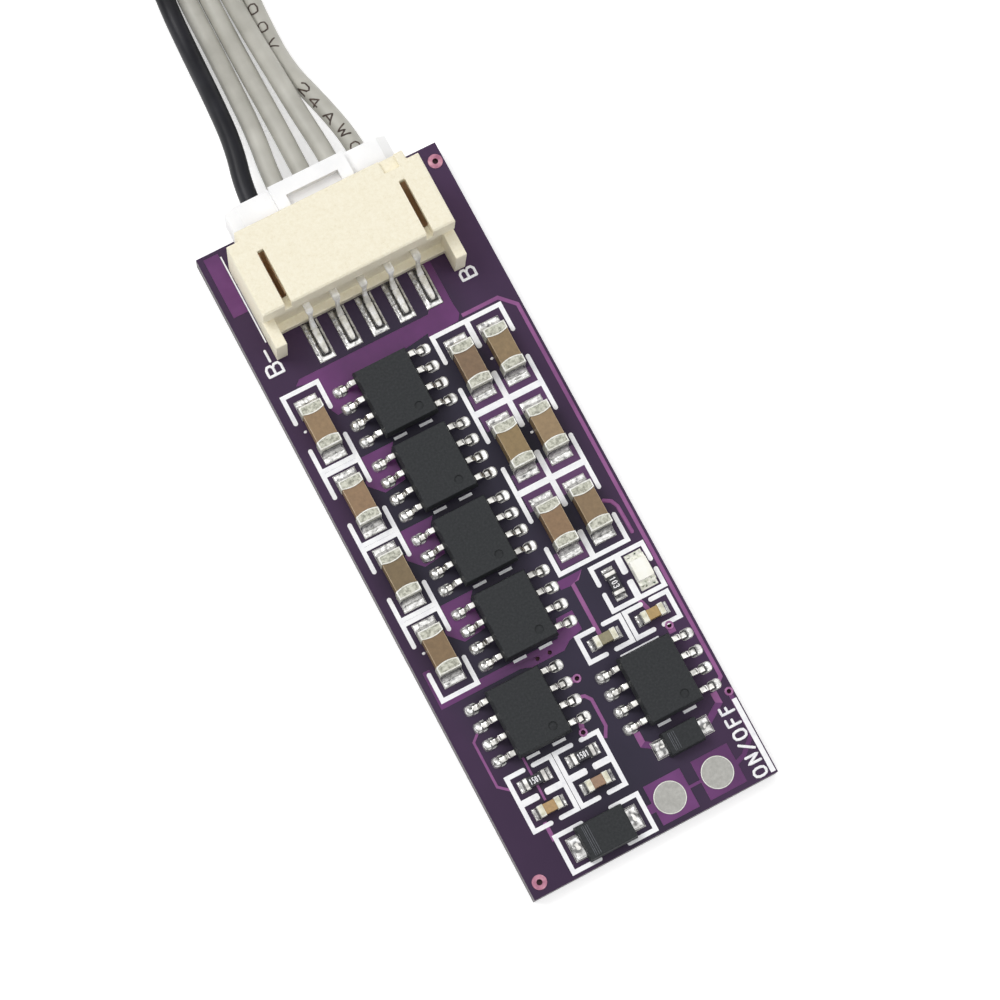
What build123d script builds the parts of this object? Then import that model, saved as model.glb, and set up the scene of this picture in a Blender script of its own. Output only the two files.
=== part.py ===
from build123d import *
import math
import os

# A small balancer board: a purple circuit board with a side-entry wire header at its
# top edge, the mated plug with five leads, and surface-mount parts in two areas.
# Millimetres, +Z up. The origin is the centre of the board's underside.
# +Y points at the connector edge and +X across the board, seen from above.

# Board
board_thickness = 1.6
copper_thickness = 0.05
land_thickness = 0.05
legend_thickness = 0.03
legend_stroke = 0.31
via_diameter = 0.3
tooling_hole_diameter = 0.4
tooling_ring_diameter = 1.0
left_margin = 1.27
right_margin = 1.9

# Large balance capacitors, standing along the board
capacitor_length = 3.2
capacitor_width = 1.6
capacitor_height = 1.5
capacitor_cap_length = 0.6
capacitor_land_overhang = 0.75
capacitor_rows_left = 4
capacitor_rows_right = 3
capacitor_gap_left = 0.9
capacitor_gap_right = 1.35
capacitor_column_gap = 0.9
end_cap_wall = 0.05

# Small capacitors and resistors
small_length = 1.6
small_width = 0.8
small_capacitor_height = 0.8
small_cap_length = 0.38
resistor_height = 0.45
resistor_cap_length = 0.28
small_land_overhang = 0.35
small_row_gap = 1.2

# Chips with eight gull-wing leads
chip_length = 4.9
chip_width = 3.9
chip_height = 1.45
chip_standoff = 0.1
chip_draft = 12
chip_spacing = 0.7
chips_in_column = 4
lead_pitch = 1.27
leads_per_side = 4
lead_width = 0.41
lead_thickness = 0.2
lead_shoulder = 0.5
lead_slope = 0.2
lead_foot = 0.42
chip_land_inset = 0.7
chip_land_length = 0.95
chip_land_width = 0.72
chip_land_corner = 0.3
dimple_diameter = 0.6
dimple_depth = 0.12
dimple_offset = 0.2
dimple_inset = 0.85

# Diodes
large_diode_length = 3.5
large_diode_width = 2.5
large_diode_height = 1.05
large_diode_tab_width = 1.4
small_diode_length = 2.6
small_diode_width = 1.7
small_diode_height = 0.95
small_diode_tab_width = 1.0
diode_tab_reach = 0.55
diode_tab_thickness = 0.2
diode_land_overhang = 0.25
diode_draft = 6

# Indicator light
light_length = 2.0
light_width = 1.25
light_base_height = 0.3
light_lens_height = 0.45
light_lens_length = 1.5
light_terminal_length = 0.3
light_land_overhang = 0.3

# Bare round lands for a remote switch
switch_land_diameter = 2.2
switch_pour_width = 2.7
switch_pour_length = 2.83
switch_spacing = 3.52
switch_land_offset = -0.1

# Header
way_count = 5
way_pitch = 2.0
header_setback = 0.9
header_height = 5.5
header_top_depth = 5.9
header_end_wall = 1.05
header_floor = 0.5
header_roof = 0.6
header_rear_wall = 0.6
header_wing_step = 0.65
header_overhang = 0.25
header_overhang_height = 1.9
header_ledge_reach = 0.35
header_ledge_height = 0.7
header_foot_length = 1.8
header_foot_width = 0.8
header_foot_height = 3.2
guide_slot_width = 0.47
guide_slot_inset = 0.8
guide_slot_end = 1.85
key_notch_width = 1.1
key_notch_depth = 0.97
key_notch_drop = 0.35
contact_width = 0.5
contact_thickness = 0.35
contact_reach = 2.9
contact_rise_back = 1.95
contact_rise_slope = 0.2
contact_tip_setback = 1.0
contact_land_width = 1.18
contact_land_overrun = 0.4
guide_slot_step = 1.2
wing_inset = 0.17
edge_chamfer = 0.12
tab_thickness = 0.25
tab_length = 3.4
tab_height = 2.6
tab_setback = 0.4

# Plug
plug_end_allowance = 1.95
plug_clearance = 0.05
plug_height = 3.6
plug_protrusion = 1.9
plug_front_gap = 0.2
plug_grip_width = 5.5
plug_grip_height = 0.65
plug_recess_width = 3.8
plug_recess_rim = 1.0
plug_grip_length = 2.9
plug_end_bevel = 0.75
plug_side_recess_width = 1.0
plug_side_recess_depth = 2.4
terminal_size = 1.2
terminal_wall = 0.2
terminal_length = 3.6
terminal_clearance = 0.02

# Leads
lead_wire_diameter = 1.3
wire_hole_clearance = 0.05
wire_insertion = 1.3
wire_gap = 0.07
plug_exit_run = 0.9
lay_offset = 0.43
coil_outer_radius = 8.2
coil_inner_radius = 6.1
coil_clearance = 0.05
coil_entry_distance = 34.4
coil_centre_distance = 39.4

# Gaps between neighbours, down the board from the connector edge
header_to_chips = 1.76
header_to_left_capacitors = 1.58
header_to_right_capacitors = 2.45
column_to_lower_chip = 1.08
capacitors_to_light = 1.5
light_to_capacitors = 1.25
capacitors_to_chip = 1.23
chip_to_diode = 0.67
diode_to_switch = 0.8
chip_to_resistors = 1.21
capacitors_to_diode = 1.5
left_edge_margin = 0.45
right_edge_margin = 0.37

# Gaps and offsets across the board
left_capacitor_to_chip = 1.03
chip_to_right_capacitor = 0.9
lower_left_chip_margin = 1.7
lower_right_chip_margin = 0.51
header_offset = -0.28
small_column_spacing = 3.53
small_columns_offset = 0.13
large_diode_offset = 0.8
small_diode_offset = -0.39
light_edge_distance = 1.6
light_resistor_spacing = 2.0
filter_edge_distance = 2.35
filter_spacing = 3.55
switch_edge_distance = 3.45

# Legend frames round the parts
capacitor_frame_reach = 0.61
capacitor_frame_side = 0.49
capacitor_frame_gap = 0.9
small_frame_reach = 0.44
small_frame_side = 0.53
small_frame_gap = 0.22
light_frame_reach = 0.28
light_frame_side = 0.3
diode_frame_reach = 0.47
diode_frame_side = 0.05
diode_frame_gap = 0.94
chip_bar_offset = 0.95
chip_bar_length = 0.95
chip_bar_drop = 0.12
chip_line_lift = 0.16
thin_stroke = 0.1
chip_bar_stroke = 0.2
switch_bar_stroke = 0.34
switch_bar_length = 5.4
switch_bar_inset = 0.26
switch_bar_rise = 3.75
header_line_rise = 0.35

# Sizes that follow
chip_span = chip_width + 2 * (chip_land_inset + chip_land_length)
chip_row = chip_length + chip_spacing
capacitor_land_span = capacitor_length + 2 * capacitor_land_overhang
left_row = capacitor_land_span + capacitor_gap_left
right_row = capacitor_land_span + capacitor_gap_right
small_row = small_width + small_row_gap
light_land_span = light_length + 2 * light_land_overhang

board_width = (
    left_margin + capacitor_width + left_capacitor_to_chip + chip_span
    + chip_to_right_capacitor + 2 * capacitor_width + capacitor_column_gap + right_margin
)

# Distances from the connector edge down the left half of the board
contact_tip = header_setback + header_top_depth + contact_reach
contact_land_end = contact_tip + contact_land_overrun
chip_first = contact_land_end + header_to_chips + chip_length / 2
chip_column_end = chip_first + (chips_in_column - 1) * chip_row + chip_length / 2
left_capacitor_first = contact_land_end + header_to_left_capacitors + capacitor_land_span / 2
left_chip = chip_column_end + column_to_lower_chip + chip_length / 2
resistor_row = left_chip + chip_length / 2 + chip_to_resistors + small_width / 2
small_capacitor_row = resistor_row + small_row
large_diode_row = small_capacitor_row + small_width / 2 + capacitors_to_diode + large_diode_width / 2
left_end = large_diode_row + large_diode_width / 2 + left_edge_margin

# Distances from the connector edge down the right half of the board
right_capacitor_first = contact_land_end + header_to_right_capacitors + capacitor_land_span / 2
right_capacitor_end = (
    right_capacitor_first + (capacitor_rows_right - 1) * right_row + capacitor_land_span / 2
)
right_end = (
    right_capacitor_end + capacitors_to_light + light_land_span + light_to_capacitors
    + small_width + capacitors_to_chip + chip_length + chip_to_diode + small_diode_width
    + diode_to_switch + switch_pour_length + right_edge_margin
)

board_length = max(left_end, right_end)

# Rows of the lower right parts, counted up from the far edge
switch_row = board_length - right_edge_margin - switch_pour_length / 2
small_diode_row = switch_row - switch_pour_length / 2 - diode_to_switch - small_diode_width / 2
right_chip = small_diode_row - small_diode_width / 2 - chip_to_diode - chip_length / 2
filter_row = right_chip - chip_length / 2 - capacitors_to_chip - small_width / 2
light_row = filter_row - small_width / 2 - light_to_capacitors - light_land_span / 2

wire_pitch = lead_wire_diameter + wire_gap
board_top = board_thickness
seat = board_top + land_thickness


def down(distance):
    """Y of a line at this distance from the connector edge."""
    return board_length / 2 - distance


# Places across the board
left_edge = -board_width / 2
right_edge = board_width / 2
left_capacitor_x = left_edge + left_margin + capacitor_width / 2
chip_x = left_capacitor_x + capacitor_width / 2 + left_capacitor_to_chip + chip_span / 2
right_capacitor_x = [
    right_edge - right_margin - capacitor_width * 1.5 - capacitor_column_gap,
    right_edge - right_margin - capacitor_width / 2,
]
left_chip_x = left_edge + lower_left_chip_margin + chip_span / 2
right_chip_x = right_edge - lower_right_chip_margin - chip_span / 2
light_x = right_edge - light_edge_distance
filter_x = [right_edge - filter_edge_distance - filter_spacing, right_edge - filter_edge_distance]
small_x = [
    left_chip_x + small_columns_offset + side * small_column_spacing / 2 for side in (-1, 1)
]
switch_x = [right_edge - switch_edge_distance - switch_spacing, right_edge - switch_edge_distance]

# Every placed part: centre x, centre y
chip_places = [(chip_x, down(chip_first + row * chip_row)) for row in range(chips_in_column)]
chip_places += [(left_chip_x, down(left_chip)), (right_chip_x, down(right_chip))]
left_capacitors = [
    (left_capacitor_x, down(left_capacitor_first + row * left_row))
    for row in range(capacitor_rows_left)
]
right_capacitors = [
    (x, down(right_capacitor_first + row * right_row))
    for row in range(capacitor_rows_right)
    for x in right_capacitor_x
]
capacitor_places = left_capacitors + right_capacitors
small_capacitor_places = [(x, down(small_capacitor_row)) for x in small_x]
small_capacitor_places += [(x, down(filter_row)) for x in filter_x]
resistor_places = [(x, down(resistor_row)) for x in small_x]
light_place = (light_x, down(light_row))
light_resistor_place = (light_x - light_resistor_spacing, down(light_row))
large_diode_place = (left_chip_x + large_diode_offset, down(large_diode_row))
small_diode_place = (right_chip_x + small_diode_offset, down(small_diode_row))
switch_places = [(x, down(switch_row)) for x in switch_x]

# Header places
header_inner_width = (way_count - 1) * way_pitch + 2 * (plug_end_allowance + plug_clearance)
header_width = header_inner_width + 2 * header_end_wall
header_x = header_offset
mouth_y = down(header_setback)
overhang_y = mouth_y - header_top_depth
recess_y = overhang_y + header_overhang
cavity_y = recess_y + header_rear_wall
ledge_y = overhang_y - header_ledge_reach
foot_y = overhang_y - header_foot_length
contact_z = board_top + (header_floor + header_height - header_roof) / 2
tab_reach_x = (header_width - header_end_wall) / 2
tab_place_y = recess_y + tab_setback + tab_length / 2
way_x = [header_x + (way - (way_count - 1) / 2) * way_pitch for way in range(way_count)]


def save(part, name):
    """Names a finished piece and writes it as its own file."""
    part.label = name
    export_step(part, f"parts/{name}.step")


os.makedirs("parts", exist_ok=True)

# Copper areas under the mask, inlaid flush with the board's top
pour_top = down(contact_land_end + 0.28)
pour_bottom = pour_top - 0.8
band_left = left_capacitor_x
supply_x = way_x[-1] + 0.88
edge_track_x = right_edge - 0.32
chip_left = chip_x - chip_span / 2
lower_band_y = (down(chip_column_end) + down(left_chip - chip_length / 2)) / 2 + 0.02
switch_link_y = down(switch_row)


def copper_outlines():
    """Closed outlines of the wide copper areas."""
    outlines = []
    first_y = chip_places[0][1]
    outlines.append([
        (band_left - 0.1, pour_top - 0.35), (band_left + 0.3, pour_top),
        (way_x[-1] - 0.7, pour_top), (way_x[-1] - 0.5, pour_top + 0.25),
        (supply_x - 0.24, pour_top + 0.25), (supply_x - 0.24, down(header_setback + 6.2)),
        (supply_x + 0.24, down(header_setback + 6.2)), (supply_x + 0.24, pour_bottom + 0.35),
        (supply_x - 0.1, pour_bottom - 0.05), (chip_x + 2.2, first_y + chip_length / 2 + 0.1),
        (chip_left + 1.7, first_y + chip_length / 2 + 0.1), (chip_left + 1.7, first_y + 0.6),
        (chip_left - 0.35, first_y + 0.6), (chip_left - 0.6, first_y + 1.1),
        (chip_left - 0.6, pour_bottom + 0.1),
    ])
    for x, y in chip_places[1:chips_in_column]:
        top = y + chip_length / 2 + chip_spacing - 0.22
        outlines.append([
            (chip_left - 0.35, top), (chip_left + 2.05, top), (chip_left + 1.6, top - 0.55),
            (chip_left + 1.6, y + 0.3), (chip_left, y + 0.1), (chip_left - 0.85, y + 1.0),
            (chip_left - 0.85, y + 1.35), (chip_left - 0.35, y + 1.6),
        ])
    low = chip_places[chips_in_column - 1][1] - chip_length / 2
    outlines.append([
        (left_edge + 0.45, low + 2.0), (left_edge + 0.95, low + 2.0),
        (left_edge + 0.95, lower_band_y + 0.45), (chip_x + 1.9, lower_band_y + 0.45),
        (chip_x + 2.4, low + 1.15), (chip_x + 3.6, low + 1.15),
        (chip_x + 3.6, low - 0.25), (chip_x + 2.5, low - 0.55),
        (chip_x + 1.9, lower_band_y - 0.45), (chip_x - 0.5, lower_band_y - 0.45),
        (chip_x - 1.2, lower_band_y - 0.2), (left_edge + 0.45, lower_band_y - 0.2),
    ])
    filter_top = down(right_capacitor_end) - 0.95
    outlines.append([
        (chip_x + 3.6, filter_top), (right_capacitor_x[0] + 0.15, filter_top),
        (right_capacitor_x[0] - 0.35, filter_top - 0.55), (chip_x + 3.6, filter_top - 0.55),
    ])
    header_left = header_x - header_width / 2
    outlines.append([
        (left_edge + 0.43, down(0.25)), (header_left - 0.18, down(0.25)),
        (header_left - 0.18, down(4.7)), (left_edge + 0.43, down(4.7)),
    ])
    return outlines


def copper_tracks():
    """Centre lines of the narrow copper tracks, each with its width."""
    chip5_left = left_chip_x - chip_span / 2
    chip5_right = left_chip_x + chip_span / 2
    chip6_left = right_chip_x - chip_span / 2 + 0.72
    chip6_right = right_chip_x + chip_span / 2 - 0.75
    chip5_y = down(left_chip)
    chip6_low = down(right_chip) - 2.2
    diode_y = down(small_diode_row)
    diode_left = small_diode_place[0] - small_diode_length / 2 - 0.7
    diode_right = small_diode_place[0] + small_diode_length / 2 + 0.7
    filter_y = down(filter_row)
    resistor_y = down(resistor_row)
    capacitor_y = down(small_capacitor_row)
    top = pour_bottom - 0.3
    return [
        (0.27, [(supply_x + 0.4, top), (right_edge - 1.3, top), (edge_track_x, top - 1.0),
                (edge_track_x, down(right_chip) - 1.6), (right_edge - 0.75, down(right_chip) - 1.95)]),
        (0.3, [(filter_x[0] - 0.13, down(right_capacitor_end) - 1.4), (filter_x[0] - 0.13, filter_y + 0.1)]),
        (0.3, [(filter_x[1] - 0.3, down(light_row) - 1.7), (filter_x[1] + 0.05, filter_y + 0.1)]),
        (0.5, [(filter_x[1] + 0.65, filter_y - 0.9), (filter_x[1] + 0.65, filter_y - 1.7)]),
        (0.18, [(chip5_left + 0.3, chip5_y + 0.55), (chip5_left - 0.4, chip5_y - 0.05),
                (chip5_left - 0.4, resistor_y + 0.75), (chip5_left + 0.35, resistor_y + 0.1)]),
        (0.17, [(small_x[0], chip5_y - 2.3), (small_x[0], capacitor_y + 0.55)]),
        (0.4, [(chip5_right - 0.3, chip5_y + 0.62), (chip5_right + 0.35, chip5_y + 0.55)]),
        (0.35, [(chip5_right - 0.8, chip5_y - 2.1), (chip5_right - 0.97, chip5_y - 2.76)]),
        (0.24, [(chip5_right - 0.1, chip5_y - 0.6), (chip5_right + 0.25, chip5_y - 0.7),
                (chip5_right + 0.55, chip5_y - 1.1), (chip5_right + 0.55, resistor_y + 1.0),
                (chip5_right + 0.15, resistor_y + 0.3)]),
        (0.28, [(left_chip_x - 2.35, capacitor_y - 0.7), (left_chip_x - 2.35, large_diode_place[1] + 1.1)]),
        (0.45, [(chip6_left, chip6_low - 0.1), (chip6_left, diode_y + 0.8), (diode_left + 0.1, diode_y + 0.4)]),
        (0.45, [(chip6_right, chip6_low - 0.1), (chip6_right, diode_y + 0.9), (diode_right, diode_y + 0.1)]),
        (0.2, [(switch_x[0] + 1.2, switch_link_y), (switch_x[1] - 1.2, switch_link_y)]),
        (0.6, [(switch_x[0] - 1.75, switch_link_y - 0.1), (switch_x[0] - 1.2, switch_link_y - 0.1)]),
        (0.3, [(switch_x[1] + 1.2, switch_link_y - 0.1), (switch_x[1] + 2.0, switch_link_y + 0.2),
               (edge_track_x, switch_link_y + 1.2), (edge_track_x, switch_link_y + 4.0)]),
    ]


with BuildPart() as copper_areas:
    with BuildSketch(Plane.XY.offset(board_top - copper_thickness)):
        for outline in copper_outlines():
            with BuildLine():
                Polyline(*outline, close=True)
            make_face()
        for width, points in copper_tracks():
            with BuildLine():
                Polyline(*points)
            trace(line_width=width)
        with Locations(*switch_places):
            Rectangle(switch_pour_width, switch_pour_length)
    extrude(amount=copper_thickness)

# Holes: two tooling holes and the vias
tooling_places = [
    (right_edge - 0.6, down(1.2)),
    (left_edge + 0.82, -board_length / 2 + 0.9),
]
via_places = [
    (chip_x + 0.08, lower_band_y - 0.12),
    (chip_x + 0.98, lower_band_y - 0.12),
    (left_chip_x + chip_span / 2 + 0.35, down(left_chip) + 0.55),
    (left_chip_x + chip_span / 2 - 0.97, down(left_chip) - 2.76),
    (filter_x[1] + 0.65, down(filter_row) - 1.15),
    (edge_track_x, down(small_diode_row) + 1.25),
]

with BuildPart() as board:
    with BuildSketch():
        Rectangle(board_width, board_length)
    extrude(amount=board_thickness)
    add(copper_areas.part, mode=Mode.SUBTRACT)
    with BuildSketch():
        with Locations(*tooling_places):
            Circle(tooling_hole_diameter / 2)
        with Locations(*via_places):
            Circle(via_diameter / 2)
    extrude(amount=board_thickness, mode=Mode.SUBTRACT)
save(board.part, "circuit_board")

with BuildPart() as drilled_copper:
    add(copper_areas.part)
    with BuildSketch():
        with Locations(*via_places):
            Circle(via_diameter / 2)
    extrude(amount=board_thickness, mode=Mode.SUBTRACT)
save(drilled_copper.part, "copper_areas")

with BuildPart() as tooling_rings:
    with BuildSketch(Plane.XY.offset(board_top)):
        with Locations(*tooling_places):
            Circle(tooling_ring_diameter / 2)
            Circle(tooling_hole_diameter / 2, mode=Mode.SUBTRACT)
    extrude(amount=land_thickness)
save(tooling_rings.part, "tooling_hole_rings")


def land_pairs():
    """Centre, length and width of every rectangular land that takes a metal end."""
    lands = []
    for x, y in capacitor_places:
        length = capacitor_cap_length + capacitor_land_overhang
        reach = capacitor_length / 2 + capacitor_land_overhang - length / 2
        lands += [(x, y + end * reach, capacitor_width, length) for end in (-1, 1)]
    for x, y in small_capacitor_places + resistor_places:
        length = small_cap_length + small_land_overhang
        reach = small_length / 2 + small_land_overhang - length / 2
        lands += [(x + end * reach, y, length, small_width) for end in (-1, 1)]
    x, y = light_resistor_place
    length = small_cap_length + small_land_overhang
    reach = small_length / 2 + small_land_overhang - length / 2
    lands += [(x, y + end * reach, small_width, length) for end in (-1, 1)]
    x, y = light_place
    length = light_terminal_length + light_land_overhang
    reach = light_length / 2 + light_land_overhang - length / 2
    lands += [(x, y + end * reach, light_width, length) for end in (-1, 1)]
    for (x, y), body, width in (
        (large_diode_place, large_diode_length, large_diode_tab_width),
        (small_diode_place, small_diode_length, small_diode_tab_width),
    ):
        length = 2 * diode_tab_reach
        reach = body / 2 + diode_tab_reach + diode_land_overhang - length / 2
        lands += [(x + end * reach, y, length, width + diode_land_overhang) for end in (-1, 1)]
    return lands


with BuildPart() as lands:
    with BuildSketch(Plane.XY.offset(board_top)):
        for x, y, width, length in land_pairs():
            with Locations((x, y)):
                Rectangle(width, length)
        for x, y in chip_places:
            for side in (-1, 1):
                reach = chip_width / 2 + chip_land_inset + chip_land_length / 2
                with Locations((x + side * reach, y)):
                    with GridLocations(0, lead_pitch, 1, leads_per_side):
                        RectangleRounded(chip_land_length, chip_land_width, chip_land_corner)
        for side in (-1, 1):
            with Locations((header_x + side * tab_reach_x, tab_place_y)):
                Rectangle(header_end_wall, tab_length)
        land_reach = ledge_y - down(contact_land_end) - plug_clearance
        for x in way_x:
            with Locations((x, down(contact_land_end) + land_reach / 2)):
                Rectangle(contact_land_width, land_reach)
    extrude(amount=land_thickness)
save(lands.part, "tinned_lands")

with BuildPart() as switch_lands:
    with BuildSketch(Plane.XY.offset(board_top)):
        with Locations(*[(x + switch_land_offset, y) for x, y in switch_places]):
            Circle(switch_land_diameter / 2)
    extrude(amount=land_thickness)
save(switch_lands.part, "switch_lands")


def frame_halves(place, along, across, gap, upright):
    """Centre lines of the two halves of the printed frame round one part."""
    x, y = place
    halves = []
    for end in (-1, 1):
        inner = gap + legend_stroke / 2
        corners = [(inner, -across), (along, -across), (along, across), (inner, across)]
        if upright:
            halves.append([(x + v, y + end * u) for u, v in corners])
        else:
            halves.append([(x + end * u, y + v) for u, v in corners])
    return halves


def legend_strokes():
    """Centre lines of all printed strokes, each with its width and the form of its ends."""
    small_along = small_length / 2 + small_land_overhang + small_frame_reach
    small_across = small_width / 2 + small_frame_side
    light_along = light_land_span / 2 + light_frame_reach
    diode_along = large_diode_length / 2 + diode_tab_reach + diode_land_overhang + diode_frame_reach
    frames = []
    for place in capacitor_places:
        frames += frame_halves(
            place, capacitor_land_span / 2 + capacitor_frame_reach,
            capacitor_width / 2 + capacitor_frame_side, capacitor_frame_gap, True,
        )
    for place in small_capacitor_places + resistor_places:
        frames += frame_halves(place, small_along, small_across, small_frame_gap, False)
    frames += frame_halves(
        light_place, light_along, light_width / 2 + light_frame_side, small_frame_gap, True
    )
    frames += frame_halves(
        light_resistor_place, light_along, small_across, small_frame_gap, True
    )
    frames += frame_halves(
        large_diode_place, diode_along, large_diode_width / 2 + diode_frame_side,
        diode_frame_gap, False,
    )
    strokes = [(legend_stroke, frame, True) for frame in frames]
    for x, y in chip_places:
        low = y - chip_length / 2 - chip_bar_drop
        for side in (-1, 1):
            bar_x = x + side * chip_bar_offset
            strokes.append((chip_bar_stroke, [
                (bar_x - chip_bar_length / 2, low), (bar_x + chip_bar_length / 2, low)], False))
    x, y = chip_places[-1]
    high = y + chip_length / 2 + chip_line_lift
    reach = chip_bar_offset + chip_bar_length / 2
    strokes.append((thin_stroke, [(x - reach, high), (x + reach, high)], False))
    line_x = header_x - header_width / 2 - thin_stroke
    strokes.append((thin_stroke, [(line_x, ledge_y), (line_x, mouth_y + header_line_rise)], False))
    bar_x = right_edge - switch_bar_inset
    bar_top = down(switch_row) + switch_bar_rise
    strokes.append((switch_bar_stroke, [(bar_x, bar_top), (bar_x, bar_top - switch_bar_length)], False))
    return strokes


with BuildPart() as legend:
    with BuildSketch(Plane.XY.offset(board_top)):
        for width, points, round_ends in legend_strokes():
            with BuildLine():
                Polyline(*points)
            trace(line_width=width)
            if round_ends:
                with Locations(points[0], points[-1]):
                    Circle(width / 2)
    extrude(amount=legend_thickness)
save(legend.part, "legend_print")


# Chips
def chip_body(place):
    """Moulded body with its parting band, drafted halves and the dimple by the first lead."""
    x, y = place
    band_low = seat + chip_standoff + (chip_height - lead_thickness) / 2
    rise = (chip_height - lead_thickness) / 2
    with BuildPart() as body:
        with BuildSketch(Plane.XY.offset(band_low)) as parting:
            with Locations((x, y)):
                Rectangle(chip_width, chip_length)
        extrude(amount=lead_thickness)
        with BuildSketch(Plane.XY.offset(band_low + lead_thickness)):
            add(parting.sketch.faces()[0].moved(Location((0, 0, -band_low))))
        extrude(amount=rise, taper=chip_draft)
        extrude(parting.sketch, amount=-rise, taper=chip_draft)
        with BuildSketch(Plane.XY.offset(seat + chip_standoff + chip_height)):
            with Locations((x + chip_width / 2 - dimple_inset - dimple_offset, y - chip_length / 2 + dimple_inset)):
                Circle(dimple_diameter / 2)
        extrude(amount=-dimple_depth, mode=Mode.SUBTRACT)
    return body.part


def chip_leads(place):
    """Eight bent leads: shoulder out of the parting band, slope down, foot on the land."""
    x, y = place
    shoulder_z = chip_standoff + chip_height / 2
    foot_z = lead_thickness / 2
    out = chip_width / 2
    with BuildPart() as leads:
        for side in (-1, 1):
            for row in range(leads_per_side):
                lead_y = y + (row - (leads_per_side - 1) / 2) * lead_pitch
                across = Plane(origin=(x, lead_y, seat), x_dir=(side, 0, 0), z_dir=(0, -side, 0))
                with BuildSketch(across):
                    with BuildLine():
                        Polyline(
                            (out, shoulder_z), (out + lead_shoulder, shoulder_z),
                            (out + lead_shoulder + lead_slope, foot_z),
                            (out + lead_shoulder + lead_slope + lead_foot, foot_z),
                        )
                    trace(line_width=lead_thickness)
                extrude(amount=lead_width / 2, both=True)
    return leads.part


for number, place in enumerate(chip_places, start=1):
    save(chip_body(place), f"chip_{number}_body")
    save(chip_leads(place), f"chip_{number}_leads")


# Capacitors and resistors: a block between two metal ends
def ceramic_block(place, length, width, height, upright):
    """Block of a small part, one end-cap wall inside its outer size."""
    x, y = place
    wall = end_cap_wall
    size = (width - 2 * wall, length - 2 * wall) if upright else (length - 2 * wall, width - 2 * wall)
    with BuildPart() as block:
        with BuildSketch(Plane.XY.offset(seat + wall)):
            with Locations((x, y)):
                Rectangle(*size)
        extrude(amount=height - 2 * wall)
    return block.part


def metal_ends(places, length, width, height, cap_length, upright):
    """Thin metal caps over both ends of every block in the list."""
    wall = end_cap_wall
    with BuildPart() as ends:
        for x, y in places:
            for end in (-1, 1):
                reach = length / 2 - cap_length / 2
                centre = (x, y + end * reach) if upright else (x + end * reach, y)
                outer = (width, cap_length) if upright else (cap_length, width)
                with BuildSketch(Plane.XY.offset(seat)):
                    with Locations(centre):
                        Rectangle(*outer)
                extrude(amount=height)
            inner = (width - 2 * wall, length - 2 * wall)
            with BuildSketch(Plane.XY.offset(seat + wall)):
                with Locations((x, y)):
                    Rectangle(*(inner if upright else inner[::-1]))
            extrude(amount=height - 2 * wall, mode=Mode.SUBTRACT)
    return ends.part


for number, place in enumerate(capacitor_places, start=1):
    block = ceramic_block(place, capacitor_length, capacitor_width, capacitor_height, True)
    save(block, f"balance_capacitor_{number}")
save(
    metal_ends(
        capacitor_places, capacitor_length, capacitor_width, capacitor_height,
        capacitor_cap_length, True,
    ),
    "balance_capacitor_ends",
)
for number, place in enumerate(small_capacitor_places, start=1):
    block = ceramic_block(place, small_length, small_width, small_capacitor_height, False)
    save(block, f"small_capacitor_{number}")
save(
    metal_ends(
        small_capacitor_places, small_length, small_width, small_capacitor_height,
        small_cap_length, False,
    ),
    "small_capacitor_ends",
)
for number, place in enumerate(resistor_places, start=1):
    save(
        ceramic_block(place, small_length, small_width, resistor_height, False),
        f"timing_resistor_{number}",
    )
save(
    ceramic_block(light_resistor_place, small_length, small_width, resistor_height, True),
    "light_resistor",
)
save(
    metal_ends(
        resistor_places, small_length, small_width, resistor_height, resistor_cap_length, False
    ),
    "timing_resistor_ends",
)
save(
    metal_ends(
        [light_resistor_place], small_length, small_width, resistor_height,
        resistor_cap_length, True,
    ),
    "light_resistor_ends",
)


# Diodes: a drafted body over two flat tabs
def diode_body(place, length, width, height, tab_width):
    """Moulded block with draft, recessed underneath for its two tabs."""
    x, y = place
    with BuildPart() as body:
        with BuildSketch(Plane.XY.offset(seat)):
            with Locations((x, y)):
                Rectangle(length, width)
        extrude(amount=diode_tab_thickness)
        with BuildSketch(Plane.XY.offset(seat + diode_tab_thickness)):
            with Locations((x, y)):
                Rectangle(length, width)
        extrude(amount=height - diode_tab_thickness, taper=diode_draft)
        with BuildSketch(Plane.XY.offset(seat)):
            for end in (-1, 1):
                with Locations((x + end * (length / 2 - diode_tab_reach / 2), y)):
                    Rectangle(diode_tab_reach, tab_width)
        extrude(amount=diode_tab_thickness, mode=Mode.SUBTRACT)
    return body.part


def diode_tabs(place, length, tab_width):
    """Two flat tabs, half under the body and half beyond it."""
    x, y = place
    with BuildPart() as tabs:
        with BuildSketch(Plane.XY.offset(seat)):
            for end in (-1, 1):
                with Locations((x + end * length / 2, y)):
                    Rectangle(2 * diode_tab_reach, tab_width)
        extrude(amount=diode_tab_thickness)
    return tabs.part


for name, place, length, width, height, tab_width in (
    ("large_diode", large_diode_place, large_diode_length, large_diode_width,
     large_diode_height, large_diode_tab_width),
    ("small_diode", small_diode_place, small_diode_length, small_diode_width,
     small_diode_height, small_diode_tab_width),
):
    save(diode_body(place, length, width, height, tab_width), f"{name}_body")
    save(diode_tabs(place, length, tab_width), f"{name}_tabs")

# Indicator light
with BuildPart() as light_base:
    with BuildSketch(Plane.XY.offset(seat)):
        with Locations(light_place):
            Rectangle(light_width, light_length - 2 * light_terminal_length)
    extrude(amount=light_base_height)
save(light_base.part, "indicator_light_base")

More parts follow.
